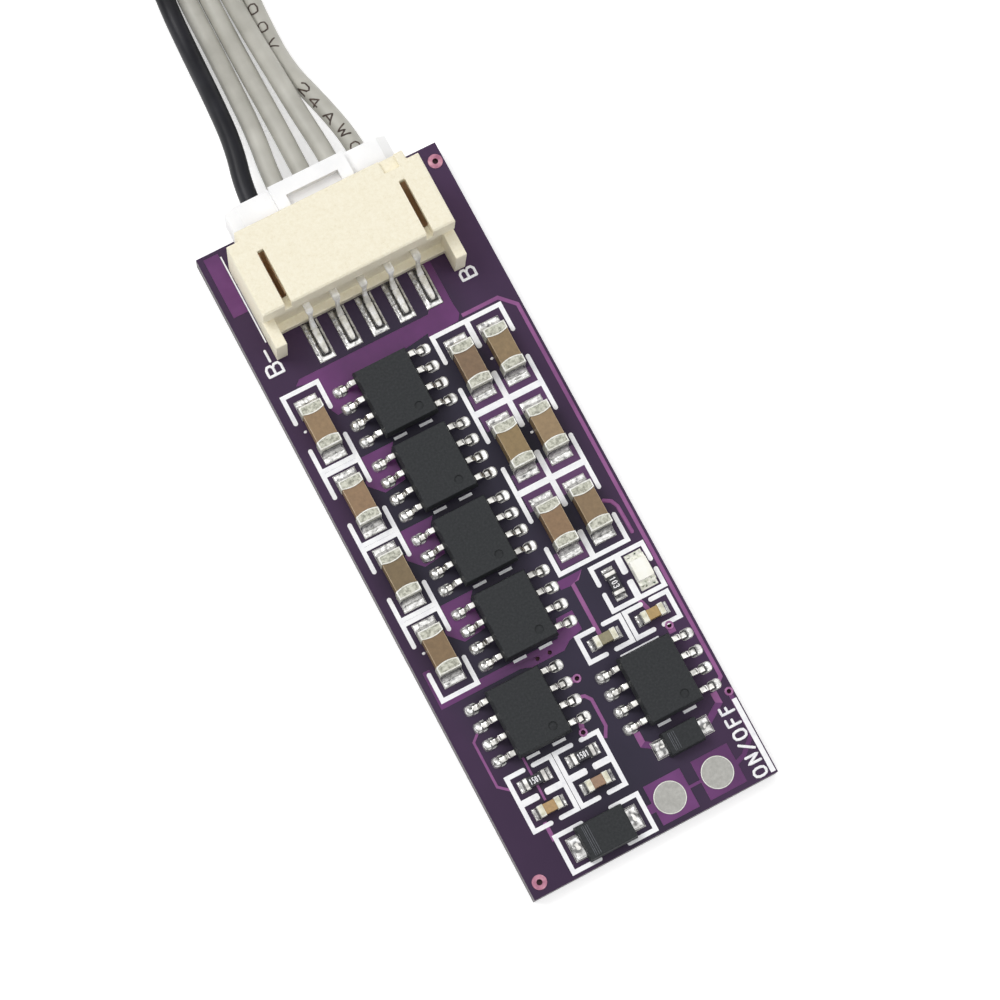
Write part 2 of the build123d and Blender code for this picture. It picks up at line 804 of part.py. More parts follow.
with BuildPart() as light_terminals:
    with BuildSketch(Plane.XY.offset(seat)):
        for end in (-1, 1):
            with Locations((light_x, light_place[1] + end * (light_length - light_terminal_length) / 2)):
                Rectangle(light_width, light_terminal_length)
            with Locations((light_x, light_place[1] + end * light_length / 2)):
                Circle(light_terminal_length * 0.6, mode=Mode.SUBTRACT)
    extrude(amount=light_base_height)
save(light_terminals.part, "indicator_light_terminals")

with BuildPart() as light_lens:
    with BuildSketch(Plane.XY.offset(seat + light_base_height)):
        with Locations(light_place):
            Rectangle(light_width, light_lens_length)
    extrude(amount=light_lens_height, taper=diode_draft)
save(light_lens.part, "indicator_light_lens")


# Header housing
roof_z = board_top + header_height
header_half = header_width / 2
wing_half = header_half - header_inner_width / 2 - wing_inset
side_profile = [
    (mouth_y, board_top), (mouth_y, roof_z), (overhang_y, roof_z),
    (overhang_y, roof_z - header_overhang_height), (recess_y, roof_z - header_overhang_height),
    (recess_y, board_top + header_ledge_height), (ledge_y, board_top + header_ledge_height),
    (ledge_y, board_top),
]
across_header = Plane(origin=(header_x, 0, 0), x_dir=(0, 1, 0), z_dir=(1, 0, 0))
into_header = Plane(origin=(header_x, mouth_y, board_top), x_dir=(-1, 0, 0), z_dir=(0, 1, 0))

with BuildPart() as header:
    with BuildSketch(across_header):
        with BuildLine():
            Polyline(*side_profile, close=True)
        make_face()
    extrude(amount=header_half, both=True)
    with BuildSketch(Plane.XY.offset(board_top)):
        for side in (-1, 1):
            step_x = header_x + side * (header_half - wing_half / 2)
            with Locations((step_x, mouth_y - header_wing_step / 2)):
                Rectangle(wing_half, header_wing_step)
    extrude(amount=header_height, mode=Mode.SUBTRACT)
    chamfer(header.faces().sort_by(Axis.Z)[-1].edges(), edge_chamfer)
    with BuildSketch(Plane.XY.offset(board_top)):
        for side in (-1, 1):
            foot_x = header_x + side * (header_half - header_foot_width / 2)
            with Locations((foot_x, (foot_y + recess_y) / 2)):
                Rectangle(header_foot_width, recess_y - foot_y)
    extrude(amount=header_foot_height)
    with BuildSketch(into_header):
        with Locations((0, (header_floor + header_height - header_roof) / 2)):
            Rectangle(header_inner_width, header_height - header_roof - header_floor)
    extrude(amount=-(mouth_y - cavity_y), mode=Mode.SUBTRACT)
    with BuildSketch(Plane.XY.offset(roof_z)):
        for side in (-1, 1):
            slot_x = header_x + side * (header_inner_width / 2 - guide_slot_inset)
            slot_top = mouth_y - guide_slot_end
            with Locations((slot_x, (slot_top + overhang_y) / 2)):
                Rectangle(guide_slot_width, slot_top - overhang_y)
    extrude(amount=-header_roof, mode=Mode.SUBTRACT)
    with BuildSketch(Plane.XY.offset(roof_z)):
        notch_x = header_x + header_inner_width / 2 - guide_slot_inset - guide_slot_width / 2
        with Locations((notch_x, mouth_y - key_notch_depth / 2)):
            Rectangle(key_notch_width, key_notch_depth)
    extrude(amount=-key_notch_drop, mode=Mode.SUBTRACT)
    with BuildSketch(Plane.XY.offset(roof_z)):
        for side in (-1, 1):
            slot_x = header_x + side * (header_inner_width / 2 - guide_slot_inset)
            with Locations((slot_x, (cavity_y + overhang_y) / 2)):
                Rectangle(guide_slot_width, cavity_y - overhang_y)
    extrude(amount=-guide_slot_step, mode=Mode.SUBTRACT)
    with BuildSketch(into_header):
        with Locations((0, contact_z - board_top)):
            with GridLocations(way_pitch, 0, way_count, 1):
                Rectangle(contact_width, contact_thickness)
    extrude(amount=-(mouth_y - recess_y), mode=Mode.SUBTRACT)
    with BuildSketch(Plane.XY.offset(board_top)):
        for side in (-1, 1):
            with Locations((header_x + side * tab_reach_x, tab_place_y)):
                Rectangle(header_end_wall, tab_length)
    extrude(amount=land_thickness + tab_thickness, mode=Mode.SUBTRACT)
    with BuildSketch(Plane.XY.offset(seat + tab_thickness)):
        for side in (-1, 1):
            with Locations((header_x + side * tab_reach_x, tab_place_y)):
                Rectangle(tab_thickness, tab_length)
    extrude(amount=tab_height, mode=Mode.SUBTRACT)
save(header.part, "header_housing")

# Contacts: straight through the rear wall, then bent down to a foot on the land
foot_height = seat + contact_thickness / 2
contact_front = mouth_y - contact_tip_setback
contact_tip_y = down(contact_tip)
rise_y = contact_tip_y + contact_rise_back
with BuildPart() as contacts:
    for x in way_x:
        with BuildSketch(Plane(origin=(x, 0, 0), x_dir=(0, 1, 0), z_dir=(1, 0, 0))):
            with BuildLine():
                Polyline(
                    (contact_tip_y, foot_height), (rise_y, foot_height),
                    (rise_y + contact_rise_slope, contact_z), (contact_front, contact_z),
                )
            trace(line_width=contact_thickness)
        extrude(amount=contact_width / 2, both=True)
save(contacts.part, "header_contacts")

with BuildPart() as solder_tabs:
    for side in (-1, 1):
        tab_x = header_x + side * tab_reach_x
        with BuildSketch(Plane.XY.offset(seat)):
            with Locations((tab_x, tab_place_y)):
                Rectangle(header_end_wall, tab_length)
        extrude(amount=tab_thickness)
        with BuildSketch(Plane.XY.offset(seat + tab_thickness)):
            with Locations((tab_x, tab_place_y)):
                Rectangle(tab_thickness, tab_length)
        extrude(amount=tab_height)
save(solder_tabs.part, "header_solder_tabs")

# Plug
plug_floor = board_top + header_floor + plug_clearance
plug_front = cavity_y + plug_front_gap
plug_rear = mouth_y + plug_protrusion
plug_width = header_inner_width - 2 * plug_clearance
plug_top = plug_floor + plug_height
terminal_back = plug_rear - wire_insertion
terminal_front = terminal_back - terminal_length
from_plug_rear = Plane(origin=(header_x, plug_rear, 0), x_dir=(-1, 0, 0), z_dir=(0, 1, 0))

with BuildPart() as plug:
    with BuildSketch(Plane.XY.offset(plug_floor)):
        with Locations((header_x, (plug_front + plug_rear) / 2)):
            Rectangle(plug_width, plug_rear - plug_front)
    extrude(amount=plug_height)
    top_ends = plug.faces().sort_by(Axis.Z)[-1].edges().filter_by(Axis.Y)
    chamfer(top_ends, plug_end_bevel)
    with BuildSketch(Plane.XY.offset(plug_top)):
        for side in (-1, 1):
            recess_x = header_x + side * (plug_width - plug_side_recess_width) / 2
            with Locations((recess_x, (plug_front + mouth_y) / 2)):
                Rectangle(plug_side_recess_width, mouth_y - plug_front)
    extrude(amount=-plug_side_recess_depth, mode=Mode.SUBTRACT)
    with BuildSketch(Plane.XY.offset(plug_top)):
        with Locations((header_x, plug_rear - plug_grip_length / 2)):
            Rectangle(plug_grip_width, plug_grip_length)
        recess_length = plug_grip_length - plug_recess_rim
        with Locations((header_x, plug_rear - plug_grip_length + recess_length / 2)):
            Rectangle(plug_recess_width, recess_length, mode=Mode.SUBTRACT)
    extrude(amount=plug_grip_height)
    with BuildSketch(from_plug_rear):
        with Locations((0, contact_z)):
            with GridLocations(way_pitch, 0, way_count, 1):
                Circle(lead_wire_diameter / 2 + wire_hole_clearance)
    extrude(amount=-wire_insertion, mode=Mode.SUBTRACT)
    with BuildSketch(from_plug_rear.offset(-wire_insertion)):
        with Locations((0, contact_z)):
            with GridLocations(way_pitch, 0, way_count, 1):
                side = terminal_size + 2 * terminal_clearance
                Rectangle(side, side)
    extrude(amount=-(terminal_back - plug_front), mode=Mode.SUBTRACT)
save(plug.part, "plug_housing")

with BuildPart() as terminals:
    with BuildSketch(from_plug_rear.offset(-wire_insertion)):
        with Locations((0, contact_z)):
            with GridLocations(way_pitch, 0, way_count, 1):
                Rectangle(terminal_size, terminal_size)
    extrude(amount=-terminal_length)
    bore = terminal_size - 2 * terminal_wall
    with BuildSketch(Plane(origin=(header_x, terminal_front, 0), x_dir=(-1, 0, 0), z_dir=(0, 1, 0))):
        with Locations((0, contact_z)):
            with GridLocations(way_pitch, 0, way_count, 1):
                Rectangle(bore, bore)
    extrude(amount=terminal_length - 3 * terminal_wall, mode=Mode.SUBTRACT)
save(terminals.part, "plug_terminals")

# Leads: side by side out of the plug and down to the surface, then turned on edge for the coil
lay_x = header_x + lay_offset
row_reach = (way_count - 1) / 2 * wire_pitch
drop_distances = (4.2, 8.0, 12.0)
drop_places = {
    "black_lead": [(-3.14, 4.1), (-2.81, 3.2), (-2.52, 1.6)],
    "grey_lead_1": [(-1.52, 4.1), (-1.28, 3.2), (-1.01, 1.55)],
    "grey_lead_2": [(0.05, 4.1), (0.11, 3.2), (0.32, 1.5)],
    "grey_lead_3": [(1.75, 4.1), (1.67, 3.35), (1.72, 1.7)],
    "grey_lead_4": [(3.42, 3.75), (2.64, 2.3), (2.84, 0.95)],
}
turns = ((16.0, 6), (20.5, 32), (25.0, 60), (29.5, 88), (coil_entry_distance, 90))


def lead_points(lead, drops):
    """Corners of a lead's route from its terminal to the coil."""
    points = [
        (way_x[lead], terminal_back, contact_z),
        (way_x[lead], plug_rear + plug_exit_run, contact_z),
    ]
    for distance, (sideways, height) in zip(drop_distances, drops):
        points.append((header_x + sideways, plug_rear + distance, height))
    offset = lead * wire_pitch - row_reach
    for distance, turn in turns:
        angle = math.radians(turn)
        height = lead_wire_diameter / 2 + (row_reach - offset) * math.sin(angle)
        points.append((lay_x + offset * math.cos(angle), plug_rear + distance, height))
    return points


def corner_radii(points):
    """Radius at each corner of a route, as large as its two runs allow."""
    corners = [Vector(*point) for point in points]
    radii = []
    for before, here, after in zip(corners, corners[1:], corners[2:]):
        turn = math.radians((here - before).get_angle(after - here))
        shorter = min((here - before).length, (after - here).length)
        radii.append(0.45 * shorter / math.tan(turn / 2))
    return radii


for number, (name, drops) in enumerate(drop_places.items()):
    points = lead_points(number, drops)
    radii = corner_radii(points)
    with BuildPart() as lead:
        with BuildLine() as route:
            FilletPolyline(*points, radius=radii)
        with BuildSketch(Plane(origin=points[0], z_dir=Vector(*points[1]) - Vector(*points[0]))):
            Circle(lead_wire_diameter / 2)
        sweep()
    length = sum(edge.length for edge in route.edges())
    share = lead.part.volume / (math.pi * lead_wire_diameter ** 2 / 4 * length)
    print(name, "length", round(length, 2), "volume share", round(share, 4))
    print("  radii", [round(radius, 1) for radius in radii])
    save(lead.part, name)

coil_centre = (lay_x + coil_outer_radius, plug_rear + coil_centre_distance)
entry_width = lead_wire_diameter + 2 * coil_clearance
entry_length = coil_centre_distance - coil_entry_distance
with BuildPart() as coil:
    with BuildSketch():
        with Locations(coil_centre):
            Circle(coil_outer_radius + entry_width / 2)
        with Locations((lay_x, coil_centre[1] - entry_length / 2)):
            Rectangle(entry_width, entry_length)
        with Locations(coil_centre):
            Circle(coil_inner_radius - entry_width / 2, mode=Mode.SUBTRACT)
    extrude(amount=2 * row_reach + lead_wire_diameter + coil_clearance)
save(coil.part, "lead_coil")

print("board", round(board_width, 3), round(board_length, 3))
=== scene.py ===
# %% [markdown]
# # A small balancer board, dressed for its picture
#
# The board carries chips, capacitors and a wire header. Its exact solids come ready made, in
# metres, with the board's underside centre at the origin. This lesson gives them the looks of the
# real thing: rounded edges, solder, print, and the leads that leave the plug.
#
# We start by loading the solids and noting the height of the board's top and of the tinned lands,
# on which much of what we add stands.

# %% Load the solids
import math

import bmesh
import bpy
from mathutils import Matrix, Vector
from mathutils import noise as field


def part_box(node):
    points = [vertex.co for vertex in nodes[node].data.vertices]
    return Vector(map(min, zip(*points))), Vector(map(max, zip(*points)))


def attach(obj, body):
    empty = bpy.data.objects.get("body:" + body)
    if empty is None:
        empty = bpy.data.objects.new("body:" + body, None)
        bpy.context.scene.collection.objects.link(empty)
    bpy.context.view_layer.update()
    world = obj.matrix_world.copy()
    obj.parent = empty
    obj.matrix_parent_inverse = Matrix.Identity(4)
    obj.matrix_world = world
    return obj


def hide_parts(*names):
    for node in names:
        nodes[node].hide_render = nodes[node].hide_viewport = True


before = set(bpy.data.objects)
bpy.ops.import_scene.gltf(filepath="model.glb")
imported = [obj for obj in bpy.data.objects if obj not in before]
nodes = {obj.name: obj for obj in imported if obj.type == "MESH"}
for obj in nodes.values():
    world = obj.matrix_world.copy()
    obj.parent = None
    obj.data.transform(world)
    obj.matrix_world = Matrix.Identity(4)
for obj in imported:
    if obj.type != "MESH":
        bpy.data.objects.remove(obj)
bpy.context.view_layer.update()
MM = 0.001
UP = Vector((0, 0, 1))
BOARD_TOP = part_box("circuit_board")[1].z
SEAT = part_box("tinned_lands")[1].z
print("nodes", len(nodes), "board top at", round(BOARD_TOP / MM, 3), "mm")

# %% [markdown]
# ## The camera
#
# The picture was taken from high above with a long lens, and the board lies turned in it. The
# camera could be turned by hand until things line up. Here its place and its three directions
# were worked out from corners of known size, so we write them down as a matrix: the columns are
# the camera's right, its up, and the way back from the view.

# %% Make the camera
camera_right = Vector((0.88196291, -0.46886345, 0.04804682))
camera_down = Vector((-0.45194173, -0.87022699, -0.19609603))
camera_forward = Vector((0.1337539, 0.15123506, -0.97940689))
camera_place = Vector((-0.0277446, -0.0326377, 0.2147560))
SENSOR_MM = 36.0
FOCAL_SHARE = 3.3
NEAREST, FARTHEST = 0.01, 10

camera_data = bpy.data.cameras.new("camera")
camera_data.sensor_width = SENSOR_MM
camera_data.lens = SENSOR_MM * FOCAL_SHARE
camera_data.clip_start, camera_data.clip_end = NEAREST, FARTHEST
camera = bpy.data.objects.new("camera", camera_data)
bpy.context.scene.collection.objects.link(camera)
turn = Matrix((camera_right, -camera_down, -camera_forward)).transposed()
camera.matrix_world = Matrix.Translation(camera_place) @ turn.to_4x4()
bpy.context.scene.camera = camera
print("lens", camera_data.lens, "mm, height", round(camera_place.z * 100, 1), "cm")

# %% [markdown]
# ## The five leads
#
# Five thin insulated wires leave the plug side by side, drop to the table, and go out of the
# picture. What the picture doesn't show is wound into a small coil. A wire is one smooth line
# with a round section, so a NURBS curve with a bevel is the natural way: a few control points
# give a fair bend that straight pieces never would.

# %% Routes of the leads
WIRE_WIDTH = 0.0013
# Each lead's places to the side and its heights, at these distances along the board. All are in
# hundredths of a millimetre.
ROUTE_UNITS_PER_METRE = 100000
ROUTE_ALONG = (2370, 2590, 2920, 3300, 3700, 4100, 4550, 5000, 5450, 5940)
ROUTES = {
    "black_lead": (
        (-428, -428, -342, -309, -280, -257, -217, -122, 5, 15),
        (430, 430, 410, 320, 160, 122, 355, 540, 613, 613),
    ),
    "grey_lead_1": (
        (-228, -228, -180, -156, -129, -121, -101, -54, 10, 15),
        (430, 430, 410, 320, 155, 108, 283, 421, 476, 476),
    ),
    "grey_lead_2": (
        (-28, -28, -23, -17, 4, 15, 15, 15, 15, 15),
        (430, 430, 410, 320, 150, 94, 210, 302, 339, 339),
    ),
    "grey_lead_3": (
        (172, 172, 147, 139, 144, 151, 131, 84, 20, 15),
        (430, 430, 410, 335, 170, 79, 138, 184, 202, 202),
    ),
    "grey_lead_4": (
        (372, 372, 314, 236, 256, 287, 247, 152, 25, 15),
        (430, 430, 375, 230, 95, 65, 65, 65, 65, 65),
    ),
}
lead_routes = {
    name: [
        tuple(value / ROUTE_UNITS_PER_METRE for value in spot)
        for spot in zip(aside, ROUTE_ALONG, heights)
    ]
    for name, (aside, heights) in ROUTES.items()
}
COIL_CENTRE = Vector((0.00835, 0.06440, 0))
COIL_START_RADIUS = 0.0082
COIL_STEP_IN = 0.0014
POINTS_PER_TURN = 16
COIL_POINTS = 21
TUBE_ROUNDNESS = 5
STEPS_BETWEEN_POINTS = 8


def coil_points(height):
    """Points of a flat spiral that winds inwards, clockwise from above."""
    points = []
    for step in range(1, COIL_POINTS + 1):
        turns = step / POINTS_PER_TURN
        angle = math.pi - turns * 2 * math.pi
        radius = COIL_START_RADIUS - COIL_STEP_IN * turns
        radius /= math.cos(math.pi / POINTS_PER_TURN)
        points.append((
            COIL_CENTRE.x + radius * math.cos(angle),
            COIL_CENTRE.y + radius * math.sin(angle),
            height,
        ))
    return points


def nurbs_curve(name, points, width):
    """A smooth tube of this width with the points as its control points."""
    curve = bpy.data.curves.new(name, "CURVE")
    curve.dimensions = "3D"
    curve.bevel_depth = 1.0
    curve.bevel_resolution = TUBE_ROUNDNESS
    curve.use_fill_caps = True
    spline = curve.splines.new("NURBS")
    spline.points.add(len(points) - 1)
    for point, place in zip(spline.points, points):
        point.co = (*place, 1)
        point.radius = width / 2
    spline.order_u = 3
    spline.use_endpoint_u = True
    spline.resolution_u = STEPS_BETWEEN_POINTS
    piece = bpy.data.objects.new(name, curve)
    bpy.context.scene.collection.objects.link(piece)
    return piece


def centre_line(piece):
    """The points that a curve really runs through, read from its own smooth line."""
    bare = piece.data.copy()
    bare.bevel_depth = 0
    probe = bpy.data.objects.new("probe", bare)
    mesh = bpy.data.meshes.new_from_object(probe)
    line = [vertex.co.copy() for vertex in mesh.vertices]
    bpy.data.objects.remove(probe)
    bpy.data.meshes.remove(mesh)
    return line


wires = {}
wire_lines = {}
for name, route in lead_routes.items():
    wire = nurbs_curve(name + "_wire", route + coil_points(route[-1][2]), WIRE_WIDTH)
    wires[name] = wire
    wire_lines[name] = centre_line(wire)
    line = wire_lines[name]
    length = sum((b - a).length for a, b in zip(line, line[1:]))
    print(name, "length", round(length / MM, 1), "mm in", len(line), "points")

# %% [markdown]
# The far ends were never joined to anything, so each one is stripped: a short bundle of tinned
# copper strands shows beyond the insulation. A row of rings along the last direction of the wire
# makes it, with seven bumps round each ring that twist a little, as strands do. Two helpers come
# first, and nearly every other piece of this lesson is made with them.

# %% Stripped ends of the leads
TIP_LENGTH = 0.0016
TIP_WIDTH = 0.00062
TIP_STEPS = 8
TIP_SIDES = 28
STRANDS = 7
STRAND_DEPTH = 0.14
STRAND_TWIST = 0.35
LAST_RING = 0.7


def link_mesh(name, maker, material=None, smooth=True):
    """Turns a bmesh into a piece that rides on the board, with its finish."""
    mesh = bpy.data.meshes.new(name)
    bmesh.ops.recalc_face_normals(maker, faces=maker.faces)
    maker.to_mesh(mesh)
    maker.free()
    if smooth:
        mesh.polygons.foreach_set("use_smooth", [True] * len(mesh.polygons))
    if material:
        mesh.materials.append(material)
    piece = bpy.data.objects.new(name, mesh)
    bpy.context.scene.collection.objects.link(piece)
    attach(piece, "root")
    return piece


def ring_tube(maker, rings, closed=False):
    """Joins rings of vertices into a tube with two ends, or into one that meets itself."""
    made = [[maker.verts.new(place) for place in ring] for ring in rings]
    count = len(made[0])
    for low, high in zip(made, made[1:] + made[:1] if closed else made[1:]):
        for i in range(count):
            j = (i + 1) % count
            maker.faces.new((low[i], low[j], high[j], high[i]))
    if not closed:
        maker.faces.new(list(reversed(made[0])))
        maker.faces.new(made[-1])


wire_tips = {}
for name, line in wire_lines.items():
    along = (line[-1] - line[-2]).normalized()
    side = along.cross(UP).normalized()
    upward = side.cross(along)
    rings = []
    for step in range(TIP_STEPS + 1):
        ring = []
        for part in range(TIP_SIDES):
            angle = part / TIP_SIDES * 2 * math.pi
            bump = abs(math.cos(STRANDS / 2 * angle + step * STRAND_TWIST))
            radius = TIP_WIDTH / 2 * (1 - STRAND_DEPTH + STRAND_DEPTH * bump)
            if step == TIP_STEPS:
                radius *= LAST_RING
            place = line[-1] + along * (step / TIP_STEPS * TIP_LENGTH)
            ring.append(place + side * radius * math.cos(angle) + upward * radius * math.sin(angle))
        rings.append(ring)
    maker = bmesh.new()
    ring_tube(maker, rings)
    wire_tips[name] = link_mesh(name + "_tip", maker)
print("stripped ends", len(wire_tips))

# %% [markdown]
# A lead is soft, so it is drawn as a curve rather than taken from the solids. Each curve stands
# for one solid lead, and one of them also stands for the plain ring that marks the coil in the
# solids. Those solids are hidden, and the curves ride on the board.

for name, wire in wires.items():
    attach(wire, "root")
    stood_for = [name, "lead_coil"] if name == "grey_lead_2" else [name]
    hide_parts(*stood_for)
print("declared leads", len(wires))

# %% [markdown]
# ## Colours and materials
#
# A colour in a picture file is stored by a curve, and Blender wants light values, so a small
# function turns the familiar code into what a shader takes. Every material here starts from the
# same shader. What makes each one its own is how its colour wanders, how rough it is and how its
# skin bulges, so those three are helpers that the finishes share.

# %% Material helpers


def paint(code):
    """A colour written as #rrggbb, in the light values that shaders take."""
    values = [int(code[i:i + 2], 16) / 255 for i in (1, 3, 5)]
    linear = [v / 12.92 if v <= 0.04045 else ((v + 0.055) / 1.055) ** 2.4 for v in values]
    return (*linear, 1.0)


def shader_of(material):
    """The node that turns all values into a surface."""
    return material.node_tree.nodes["Principled BSDF"]


def new_material(name, roughness, metallic=0.0, specular=None):
    """An empty material with its shader, ready for nodes."""
    material = bpy.data.materials.new(name)
    material.use_nodes = True
    shader_of(material).inputs["Roughness"].default_value = roughness
    shader_of(material).inputs["Metallic"].default_value = metallic
    if specular is not None:
        shader_of(material).inputs["Specular IOR Level"].default_value = specular
    return material


def add_node(material, kind, **values):
    """A node of this kind with its named inputs set."""
    node = material.node_tree.nodes.new(kind)
    for key, value in values.items():
        node.inputs[key.replace("_", " ")].default_value = value
    return node


def join(material, source, output, target, entry):
    """Links one node's output to another one's input, each by its name or number."""
    material.node_tree.links.new(source.outputs[output], target.inputs[entry])


def noise(material, grain, detail=3.0, rough=0.5, stretch=(1, 1, 1)):
    """Noise whose features are about this many metres across."""
    place = add_node(material, "ShaderNodeTexCoord")
    scale = add_node(material, "ShaderNodeMapping")
    scale.inputs["Scale"].default_value = stretch
    texture = add_node(
        material, "ShaderNodeTexNoise", Scale=1 / grain, Detail=detail, Roughness=rough,
    )
    join(material, place, "Object", scale, "Vector")
    join(material, scale, "Vector", texture, "Vector")
    return texture


def colour_ramp(material, source, output, stops):
    """Turns a value from a node into a colour by a row of (place, colour) stops."""
    ramp = add_node(material, "ShaderNodeValToRGB")
    ramp.color_ramp.elements[0].position = stops[0][0]
    ramp.color_ramp.elements[0].color = stops[0][1]
    ramp.color_ramp.elements[1].position = stops[-1][0]
    ramp.color_ramp.elements[1].color = stops[-1][1]
    for position, colour in stops[1:-1]:
        ramp.color_ramp.elements.new(position).color = colour
    join(material, source, output, ramp, "Fac")
    return ramp


def mottle(material, grain, stops, detail=3.0, rough=0.5):
    """Colour that wanders between the stops with noise of this grain."""
    texture = noise(material, grain, detail, rough)
    stops = [(place, paint(code)) for place, code in stops]
    ramp = colour_ramp(material, texture, "Fac", stops)
    join(material, ramp, "Color", shader_of(material), "Base Color")
    return ramp


def bumps(material, grain, height, detail=3.0, rough=0.5, stretch=(1, 1, 1)):
    """Small bulges of this height in metres."""
    texture = noise(material, grain, detail, rough, stretch)
    bump = add_node(material, "ShaderNodeBump", Distance=height, Strength=1.0)
    join(material, texture, "Fac", bump, "Height")
    join(material, bump, "Normal", shader_of(material), "Normal")


def surface(
    name, roughness, metallic, grain, stops, detail=3.0, rough=0.5, skin=None, specular=None,
):
    """A whole material: a colour that wanders and, if asked, a skin that bulges."""
    material = new_material(name, roughness, metallic, specular)
    mottle(material, grain, stops, detail, rough)
    if skin:
        bumps(material, *skin)
    return material


def fill(material, node, entry, value):
    """Sets an input to a fixed value, or links it if the value is a node with its output."""
    if isinstance(value, tuple) and isinstance(value[0], bpy.types.Node):
        join(material, *value, node, entry)
    else:
        node.inputs[entry].default_value = value


def calculate(material, operation, *values):
    """A number worked out from one or two values."""
    node = add_node(material, "ShaderNodeMath")
    node.operation = operation
    for entry, value in enumerate(values):
        fill(material, node, entry, value)
    return node


MIX_FACTOR, MIX_LOW, MIX_HIGH, MIX_RESULT = 0, 6, 7, 2


def colour_mix(material, factor, low, high, blend="MIX"):
    """A mix of two colours."""
    mix = add_node(material, "ShaderNodeMix")
    mix.data_type = "RGBA"
    mix.blend_type = blend
    for entry, value in ((MIX_FACTOR, factor), (MIX_LOW, low), (MIX_HIGH, high)):
        fill(material, mix, entry, value)
    return mix


print("purple in light values", [round(v, 3) for v in paint("#6a3a72")[:3]])

# %% [markdown]
# ### The solder mask
#
# The mask is a purple lacquer. Over bare glass fibre it looks nearly black, and over copper the
# metal underneath lights it up to a warm violet. The cut sides of the board show the dark core.
# One material can do both board faces and sides if it asks which way the surface faces, which is
# steadier than sorting faces by hand.

# %% Board and copper
mask = new_material("dark_purple_mask", 0.36, specular=0.12)
mask_stops = [(0.32, "#3c2c44"), (0.5, "#43314b"), (0.68, "#4e3757")]
mask_ramp = mottle(mask, 0.02, mask_stops, 4.0, 0.55)

# Painted shade: the crowded middle of the board gets less light than its margins, so the mask's
# colour is darkened towards it.
MIDDLE = (0.0, -0.004)
REACH = (0.0096, 0.027)
DEEPEST_PAINTED_SHADE = (0.55, 0.88, 0.63, 1)
spread_from = add_node(mask, "ShaderNodeTexCoord")
oval = add_node(mask, "ShaderNodeMapping")
oval.inputs["Location"].default_value = (-MIDDLE[0] / REACH[0], -MIDDLE[1] / REACH[1], 0)
oval.inputs["Scale"].default_value = (1 / REACH[0], 1 / REACH[1], 0)
painted_shade_spread = add_node(mask, "ShaderNodeTexGradient")
painted_shade_spread.gradient_type = "SPHERICAL"
join(mask, spread_from, "Object", oval, "Vector")
join(mask, oval, "Vector", painted_shade_spread, "Vector")
painted_shade_ramp = colour_ramp(mask, painted_shade_spread, "Fac", [(0.08, (1, 1, 1, 1)), (0.4, DEEPEST_PAINTED_SHADE)])
mask_with_painted_shade = colour_mix(mask, 1.0, (mask_ramp, "Color"), (painted_shade_ramp, "Color"), "MULTIPLY")

# Where the surface looks neither up nor down, it is a cut side and shows the core.
facing = add_node(mask, "ShaderNodeNewGeometry")
apart = add_node(mask, "ShaderNodeSeparateXYZ")
join(mask, facing, "Normal", apart, "Vector")
flat = calculate(mask, "ABSOLUTE", (apart, "Z"))
core = noise(mask, 0.0004, 2.0, 0.5, (1, 1, 9))
core_stops = [(0.35, paint("#241a26")), (0.7, paint("#43313a"))]
core_ramp = colour_ramp(mask, core, "Fac", core_stops)
sides = colour_mix(mask, (flat, "Value"), (core_ramp, "Color"), (mask_with_painted_shade, MIX_RESULT))
join(mask, sides, MIX_RESULT, shader_of(mask), "Base Color")
bumps(mask, 0.00055, 0.00001, 2.0)

dim_copper = surface(
    "dim_violet_mask", 0.36, 0.0,
    0.004, [(0.3, "#52375a"), (0.5, "#5b3d62"), (0.72, "#66466b")], 4.0, 0.6, specular=0.15,
)
copper = surface(
    "violet_mask_on_copper", 0.32, 0.0,
    0.006, [(0.3, "#54275a"), (0.5, "#622d67"), (0.72, "#723a77")], 4.0, 0.6,
    skin=(0.0006, 0.00001, 2.0), specular=0.35,
)
track_copper = surface(
    "pink_mask_on_tracks", 0.32, 0.0,
    0.003, [(0.3, "#7c4579"), (0.5, "#8d5188"), (0.72, "#9d6096")], 4.0, 0.6, specular=0.35,
)
print("materials so far", len(bpy.data.materials))

# %% [markdown]
# ### Tin, solder and print
#
# Solder mirrors the room, so much of its bright and dark comes from its shape and its wrinkles.
# The rest is painted into its colour: the groove where solder creeps under a lead gets painted
# shade, and spots and rays get painted reflections. We store that on the solder's own corners as a
# value called shade, and the material multiplies its colour by it. The white print is thick ink
# with a faintly uneven skin.

# %% Metals and print
PAINTED_GROOVE_SHADE = "#15131a"


def shaded(material, ramp):
    """Darkens a ramp's colour by the piece's own shade values: painted shade and painted
    reflections.
    """
    stored = add_node(material, "ShaderNodeAttribute")
    stored.attribute_name = "shade"
    darker = colour_mix(material, (stored, "Fac"), paint(PAINTED_GROOVE_SHADE), (ramp, "Color"))
    join(material, darker, MIX_RESULT, shader_of(material), "Base Color")


tin = surface(
    "grainy_tin", 0.34, 0.9,
    0.00035, [(0.3, "#8e8c8a"), (0.5, "#c3c1bc"), (0.7, "#eceae4")], 4.0, 0.6,
    skin=(0.00022, 0.00003),
)
solder = new_material("bright_solder", 0.2, 0.75)
solder_stops = [(0.36, "#c9c8c6"), (0.5, "#f0efec"), (0.62, "#ffffff")]
shaded(solder, mottle(solder, 0.0005, solder_stops, 3.0, 0.55))
bumps(solder, 0.0003, 0.000025, 2.0)

old_solder = new_material("crumpled_solder", 0.26, 0.7)
old_stops = [(0.33, "#8e8d91"), (0.43, "#d8d7d4"), (0.6, "#fdfcfa")]
shaded(old_solder, mottle(old_solder, 0.0003, old_stops, 3.0, 0.6))
bumps(old_solder, 0.0004, 0.00003, 2.0)

